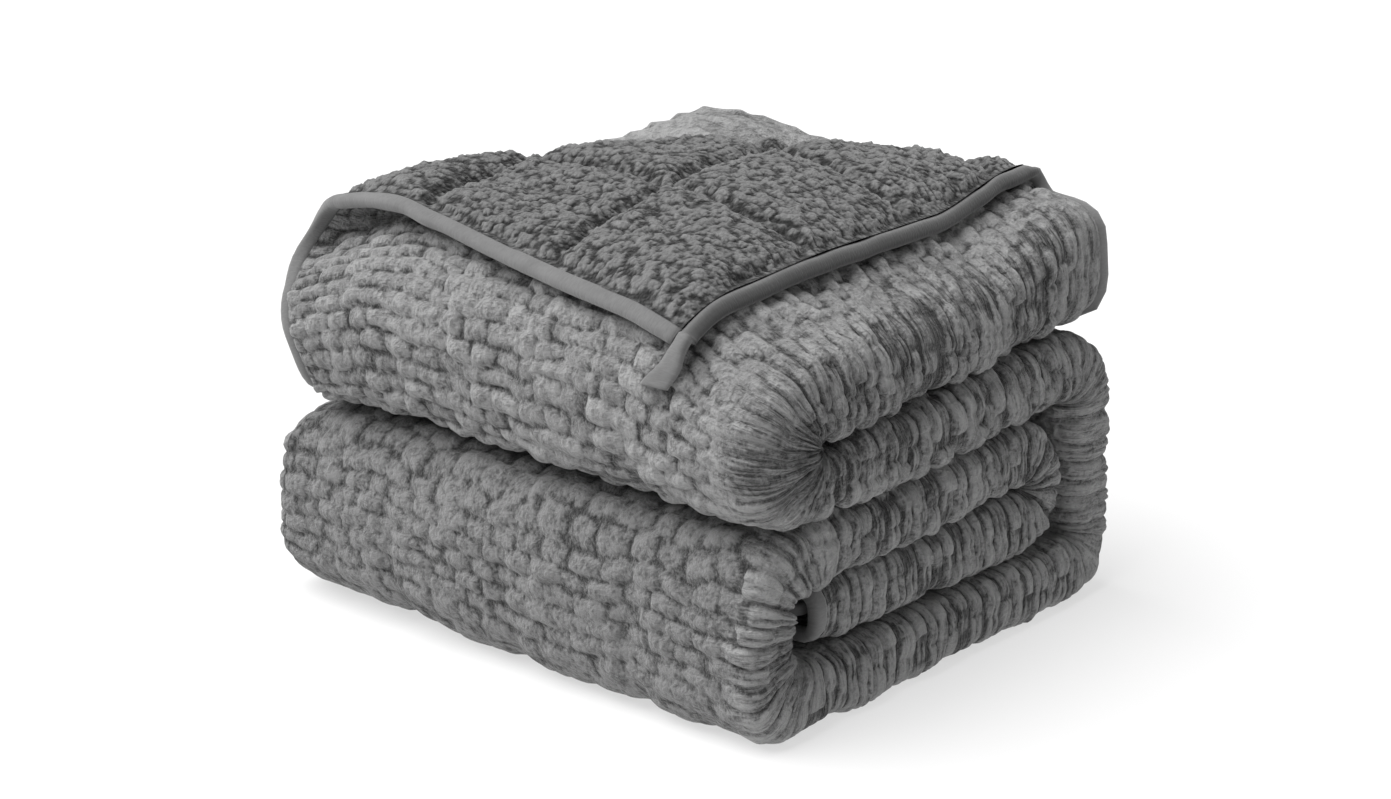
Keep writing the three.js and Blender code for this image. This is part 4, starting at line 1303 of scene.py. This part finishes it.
# Where the sherpa stands free: beyond the fold line, and inside the rim.
SHERPA_AIR_FROM = 0.004
SHERPA_AIR_FADE = 0.02
SHERPA_RIM = 0.008

# How far the pile sinks at each sewn line, how that line wavers, and how dark the painted shade in
# it and the painted shadow at the rim, next to the binding, are.
CREASE_DEPTH = 0.0052
CREASE_WIDTH = 0.009
CREASE_WAVE = 0.0040
CREASE_WAVE_REACH = 0.026
CREASE_SHADE = 0.34
RIM_SHADE = 0.45
RIM_SHADE_WIDTH = 0.006

# Between which heights a curl's colour turns into the painted shade of the pits.
CURL_TOP = 0.78
CURL_PIT = 0.55

# The steps of the sherpa's grid: where it shows, on the near upper turn, on the rest of the top
# layer, and along and across the strip inside the bundle.
CURL_STEP = 0.00185
TURN_STEP = 0.004
HIDDEN_STEP = 0.006
INSIDE_STEP = 0.008
DEEP_STEP = 0.012


def curls(x, y, size, seed):
    """Curls on a slanted, bent and jittered grid: for each place the dome of the nearest curl, and
    that curl's own chance. The nearest two are found among the nine cells round the place. The
    dome is the root of how much nearer the first is than the second, times 1 less a parabola of
    the first's distance."""
    slant = CURL_SLANT + seed
    x, y = x * math.cos(slant) - y * math.sin(slant), x * math.sin(slant) + y * math.cos(slant)
    x = x + CURL_BEND * size * drift(x, y, size, seed + 3)
    y = y + CURL_BEND * size * drift(x, y, size, seed + 4)
    i = np.floor(x / size)
    j = np.floor(y / size)
    nearest = np.full(x.shape, FAR_AWAY)
    second = np.full(x.shape, FAR_AWAY)
    own = np.zeros(x.shape)
    for di in (-1, 0, 1):
        for dj in (-1, 0, 1):
            ci = i + di
            cj = j + dj
            dx = x / size - ci - chance(ci, cj, seed)
            dy = y / size - cj - chance(ci, cj, seed + 1)
            distance = np.hypot(dx, dy)
            closer = distance < nearest
            second = np.where(closer, nearest, np.minimum(second, distance))
            nearest = np.where(closer, distance, nearest)
            own = np.where(closer, chance(ci, cj, seed + 2), own)
    gap = np.clip((second - nearest) / CURL_GAP, 0, 1)
    return np.sqrt(gap) * (1 - CURL_ROUND * nearest ** 2), own


def make_sherpa(name, u, v, weave, material):
    """Raises the curls over the sherpa back, and makes the sheet. The height is the panel's
    thickness, plus curls of three sizes and a slow waviness, less a soft groove at each sewn
    line, where the sherpa stands free."""
    u, v = np.broadcast_arrays(u, v)
    point = cloth_point(u, v)
    normal = cloth_normal(u, v)
    along = Along(v)
    beyond = from_turn(*first_ply_place(u / PLY_CLOTH[FIRST], along))[0]
    flap = (v < TURN_END) & (u < PLY_START[RIGHT_FOLD])
    air = np.where(flap, smooth((beyond - SHERPA_AIR_FROM) / SHERPA_AIR_FADE), 0)
    rim = to_rim(u, v)
    free = air * smooth(rim / SHERPA_RIM)
    lumps, own = curls(u, v, weave.curl, 21)
    fine_lumps = curls(u, v, weave.curl * FINE_CURL, 31)[0]
    tufts = curls(u, v, weave.curl * TUFT, 41)[0]
    height = lumps * CURL_SHARE + fine_lumps * FINE_CURL_SHARE + tufts * TUFT_SHARE - CURL_LOWER
    relief = weave.curl_height * (height * (LEAST_CURL + CURL_UNEVEN * own) - CURL_LEVEL)
    uneven = UNEVEN * drift(u, v, SHERPA_UNEVEN_REACH, 17)
    wave = CREASE_WAVE * drift(u, v, CREASE_WAVE_REACH, 18)
    seam = np.minimum(np.abs(to_line(u) + wave), np.abs(to_line(v) + wave))
    crease = 1 - smooth(seam / CREASE_WIDTH)
    over = SEAM_GAP / 2 + thickness(u, v) + free * (relief + uneven - CREASE_DEPTH * crease)
    placed = settle(point - normal * over[..., None])
    # Painted shade in the creases at the sewn lines and a painted shadow at the rim, where the pile
    # meets the binding, added to the painted shade in the pits.
    pressed = np.maximum(CREASE_SHADE * crease, RIM_SHADE * (1 - smooth(rim / RIM_SHADE_WIDTH)))
    hollow = smooth((CURL_TOP - height) / CURL_PIT)
    attributes = {"hollow": np.clip(hollow + pressed, 0, 1), "tone": own}
    piece = sheet_object(name, placed, attributes, False, material, ["sherpa_panel"])


class BLANKET_OT_sherpa(bpy.types.Operator):
    """Makes the sherpa back: the turned-over corner finely, and the rest inside the folds"""

    bl_idname = "blanket.sherpa"
    bl_label = "Sherpa back"

    def execute(self, context):
        settings = context.scene.blanket_weave
        material = sherpa_material(context.scene.blanket_colours)
        ply_end = PLY_START[RIGHT_FOLD]
        level_end = BENDS["run"][TOP_END]
        fold_end = PLY_START[THIRD]
        u = lines((0, ply_end, CURL_STEP))
        v = lines((0, level_end, CURL_STEP), (level_end, TURN_END, TURN_STEP))
        make_sherpa("sherpa_flap", u[None, :], v[:, None], settings, material)
        u = lines((ply_end, fold_end, HIDDEN_STEP), (fold_end, FLAT_WIDTH, DEEP_STEP))
        v = lines((0, TURN_END, HIDDEN_STEP))
        make_sherpa("sherpa_top", u[None, :], v[:, None], settings, material)
        u = lines((0, FLAT_WIDTH, DEEP_STEP))
        v = lines((TURN_END, FLAT_LENGTH, INSIDE_STEP))
        make_sherpa("sherpa_inside", u[None, :], v[:, None], settings, material)
        return {"FINISHED"}


# The binding.

# How far it laps over the cloth, how far it turns down where the cloth lies with its plush side
# below along the end edge, and how uneven it is along its length.
BINDING_LAP = 0.003
BINDING_DROOP = math.radians(32)
TAPE_WAVE = 0.0008
TAPE_UNEVEN = 0.10
TAPE_WAVE_REACH = 0.022

# Its section and steps: corners of a section, how square that is, the distance between sections,
# the fewest on an edge or a corner's turn, and those on the tail. Then the share of the tail over
# which the lap ends, and how the shade of the tape that is turned down grows across it.
SECTION_CORNERS = 16
SECTION_POWER = 3.2
SECTION_STEP = 0.005
LEAST_SECTIONS = 4
TAIL_SECTIONS = 16
LAP_ENDS = 0.25
UNDER_RISE = 1.5
UNDER_FROM = 0.1


def binding_route(step):
    """The rim, from the turned-over corner down the long edge, round the blanket, and back along
    the end edge: the flat place, and the direction out of the cloth as an angle from +U to +V.
    Each edge and each turn at a corner is divided evenly."""
    corners = [
        (0, 0, math.pi), (0, FLAT_LENGTH, math.pi),
        (0, FLAT_LENGTH, math.pi / 2), (FLAT_WIDTH, FLAT_LENGTH, math.pi / 2),
        (FLAT_WIDTH, FLAT_LENGTH, 0), (FLAT_WIDTH, 0, 0),
        (FLAT_WIDTH, 0, -math.pi / 2), (0, 0, -math.pi / 2),
    ]
    parts = []
    for start, end in zip(corners[:-1], corners[1:]):
        distance = math.hypot(end[0] - start[0], end[1] - start[1])
        count = max(LEAST_SECTIONS, round(distance / step))
        share = np.linspace(0, 1, count + 1)[1:, None]
        parts.append(mix(np.array(start), np.array(end), share))
    return np.concatenate([np.array([corners[0]]), *parts])


def tail_places(count):
    """The tail past the corner, on the first ply: its middle, normal, and share of its length."""
    corner = np.array([FREE_EDGE_X - CORNER_PULL_X])
    x, y, height = turn_over(corner, np.array([TOP_END_Y + CORNER_PULL_Y]))
    share = np.arange(1, count + 1) / count
    flatter = smooth(share)
    over = mix(height, HALF_PLY + TAIL_THICK / 2 + TAIL_CLEARANCE, flatter)
    point, normal = over_first_ply(x - TAIL_LEAN * share, y - TAIL_LENGTH * share, over)
    return point, -normal, flatter, share


def make_binding(material):
    """Carries a rounded section along the rim and the tail, wrapped over the cloth's edge.

    Each section is a squared-off round between the cloth's normal and the direction out of the
    cloth. Both are turned down together where the tape droops, and the tail's sections become
    wide and flat by a soft step."""
    u, v, turn = binding_route(SECTION_STEP).T
    point = cloth_point(u, v)
    normal = cloth_normal(u, v)
    out = point - cloth_point(u - np.cos(turn) * CLOTH_STEP, v - np.sin(turn) * CLOTH_STEP)
    out = unit(out - normal * (out * normal).sum(axis=-1, keepdims=True))
    droop = (BINDING_DROOP * smooth(-normal[:, 2]) * smooth(-np.sin(turn)))[:, None]
    drooping = out * np.cos(droop) + normal * np.sin(droop)
    normal = normal * np.cos(droop) - out * np.sin(droop)
    out = drooping
    tail_point, tail_normal, flatter, share = tail_places(TAIL_SECTIONS)
    sideways = np.broadcast_to([1.0, 0.0, 0.0], tail_point.shape)
    point = np.concatenate([point, tail_point])
    normal = np.concatenate([normal, tail_normal])
    out = np.concatenate([out, sideways])
    ones = np.ones(len(u))
    width = np.concatenate([ones * BINDING_WIDTH, mix(BINDING_WIDTH, TAIL_WIDTH, flatter)])
    thick = np.concatenate([ones * BINDING_THICK, mix(BINDING_THICK, TAIL_THICK, flatter)])
    shifted = BINDING_GAP - (TAIL_WIDTH - BINDING_WIDTH) / 2
    shifting = smooth((share - TAIL_SHIFT_FROM) / (1 - TAIL_SHIFT_FROM))
    start = np.concatenate([ones * BINDING_GAP, mix(BINDING_GAP, shifted, shifting)])
    lap = np.concatenate([ones * BINDING_LAP, mix(BINDING_LAP, 0, smooth(share / LAP_ENDS))])
    angle = np.arange(SECTION_CORNERS) / SECTION_CORNERS * 2 * np.pi
    reach = squared_reach(angle, SECTION_POWER)
    length = np.concatenate([[0], np.cumsum(np.linalg.norm(np.diff(point, axis=0), axis=1))])
    zero = np.zeros_like(length)
    start = start + TAPE_WAVE * drift(length, zero, TAPE_WAVE_REACH, 51)
    thick = thick * (1 + TAPE_UNEVEN * drift(length, zero, TAPE_WAVE_REACH, 52))
    across = (1 - reach * np.cos(angle)) / 2
    up = reach * np.sin(angle) / 2
    far = start[:, None] - lap[:, None] + across * (width + lap)[:, None]
    over = up * thick[:, None]
    rings = point[:, None] + out[:, None] * far[..., None] + normal[:, None] * over[..., None]
    placed = settle(rings).reshape(-1, 3)
    index = np.arange(len(placed)).reshape(-1, SECTION_CORNERS)
    after = np.roll(index, -1, axis=1)
    corners = [index[:-1], index[1:], after[1:], after[:-1]]
    faces = np.stack(corners, axis=-1).reshape(-1, 4)
    # Painted shade across the drooping tape, which faces away from the light.
    turned = np.concatenate([droop[:, 0], np.zeros(len(share))]) / BINDING_DROOP
    attributes = {
        "tape": flat_place(length[:, None], across * BINDING_WIDTH),
        "under": turned[:, None] * smooth(across * UNDER_RISE + UNDER_FROM),
    }
    piece = mesh_object(
        "edge_binding_tape", placed, faces, attributes, material, ["edge_binding"]
    )
    close_ends(piece.data, index[0], index[-1])


def close_ends(mesh, first, last):
    """Closes a tube with one flat face at each end."""
    shape = bmesh.new()
    shape.from_mesh(mesh)
    shape.verts.ensure_lookup_table()
    shape.faces.new([shape.verts[i] for i in first])
    shape.faces.new([shape.verts[i] for i in reversed(last)])
    bmesh.ops.recalc_face_normals(shape, faces=shape.faces)
    shape.to_mesh(mesh)
    shape.free()


class BLANKET_OT_binding(bpy.types.Operator):
    """Makes the binding tape round the rim, with its tail"""

    bl_idname = "blanket.binding"
    bl_label = "Edge binding"

    def execute(self, context):
        make_binding(binding_material(context.scene.blanket_colours))
        return {"FINISHED"}


# The studio.

# The floor's half width, the key light's softness, tilt and turn, and the camera's sensor width in
# millimetres.
FLOOR_REACH = 12.0
KEY_SOFTNESS = math.radians(60)
KEY_TILT = math.radians(31)
KEY_TURN = math.radians(-40)
SENSOR_WIDTH = 36


class BLANKET_OT_stage(bpy.types.Operator):
    """Makes the floor, the soft light and the camera"""

    bl_idname = "blanket.stage"
    bl_label = "Studio"

    def execute(self, context):
        scene = context.scene
        studio = scene.blanket_studio
        ways = [(-1, -1), (1, -1), (1, 1), (-1, 1)]
        corners = [(FLOOR_REACH * x, FLOOR_REACH * y, 0) for x, y in ways]
        mesh = bpy.data.meshes.new("studio_floor")
        mesh.from_pydata(corners, [], [(0, 1, 2, 3)])
        mesh.materials.append(floor_material(scene.blanket_colours))
        floor = bpy.data.objects.new("studio_floor", mesh)
        scene.collection.objects.link(floor)
        world = bpy.data.worlds.new("studio")
        world.use_nodes = True
        background = world.node_tree.nodes["Background"]
        background.inputs["Color"].default_value = (1, 1, 1, 1)
        background.inputs["Strength"].default_value = studio.fill_strength
        scene.world = world
        key = bpy.data.lights.new("key_light", "SUN")
        key.energy = studio.key_strength
        key.angle = KEY_SOFTNESS
        key_light = bpy.data.objects.new("key_light", key)
        key_light.rotation_euler = (KEY_TILT, 0, KEY_TURN)
        scene.collection.objects.link(key_light)
        camera = bpy.data.cameras.new("camera")
        camera.lens = studio.focal_length
        camera.sensor_width = SENSOR_WIDTH
        camera_object = bpy.data.objects.new("camera", camera)
        camera_object.location = studio.camera
        camera_object.rotation_euler = (math.pi / 2 - studio.pitch, 0, studio.heading)
        scene.collection.objects.link(camera_object)
        scene.camera = camera_object
        scene.view_settings.view_transform = "Standard"
        return {"FINISHED"}


class BLANKET_PT_panel(bpy.types.Panel):
    """Lists the steps and the settings of the blanket"""

    bl_idname = "BLANKET_PT_panel"
    bl_label = "Folded blanket"
    bl_space_type = "VIEW_3D"
    bl_region_type = "UI"
    bl_category = "Blanket"

    def draw(self, context):
        layout = self.layout
        for step in STEPS:
            layout.operator(step.bl_idname)
        for name in SETTINGS:
            group = getattr(context.scene, name)
            box = layout.box()
            for key in group.__annotations__:
                box.prop(group, key)


STEPS = (BLANKET_OT_binding, BLANKET_OT_sherpa, BLANKET_OT_plush, BLANKET_OT_stage)
SETTINGS = {
    "blanket_weave": WeaveSettings,
    "blanket_colours": ColourSettings,
    "blanket_studio": StudioSettings,
}


def register():
    """Registers the classes, and puts the settings on the scene."""
    for group in SETTINGS.values():
        bpy.utils.register_class(group)
    for step in STEPS:
        bpy.utils.register_class(step)
    bpy.utils.register_class(BLANKET_PT_panel)
    for name, group in SETTINGS.items():
        setattr(bpy.types.Scene, name, bpy.props.PointerProperty(type=group))


def unregister():
    """Takes the settings off the scene, and the classes out of Blender."""
    for name in SETTINGS:
        delattr(bpy.types.Scene, name)
    bpy.utils.unregister_class(BLANKET_PT_panel)
    for step in reversed(STEPS):
        bpy.utils.unregister_class(step)
    for group in SETTINGS.values():
        bpy.utils.unregister_class(group)


def main():
    """Makes every piece in order."""
    register()
    bpy.ops.blanket.binding()
    bpy.ops.blanket.sherpa()
    bpy.ops.blanket.plush()
    bpy.ops.blanket.stage()


if __name__ == "__main__":
    main()
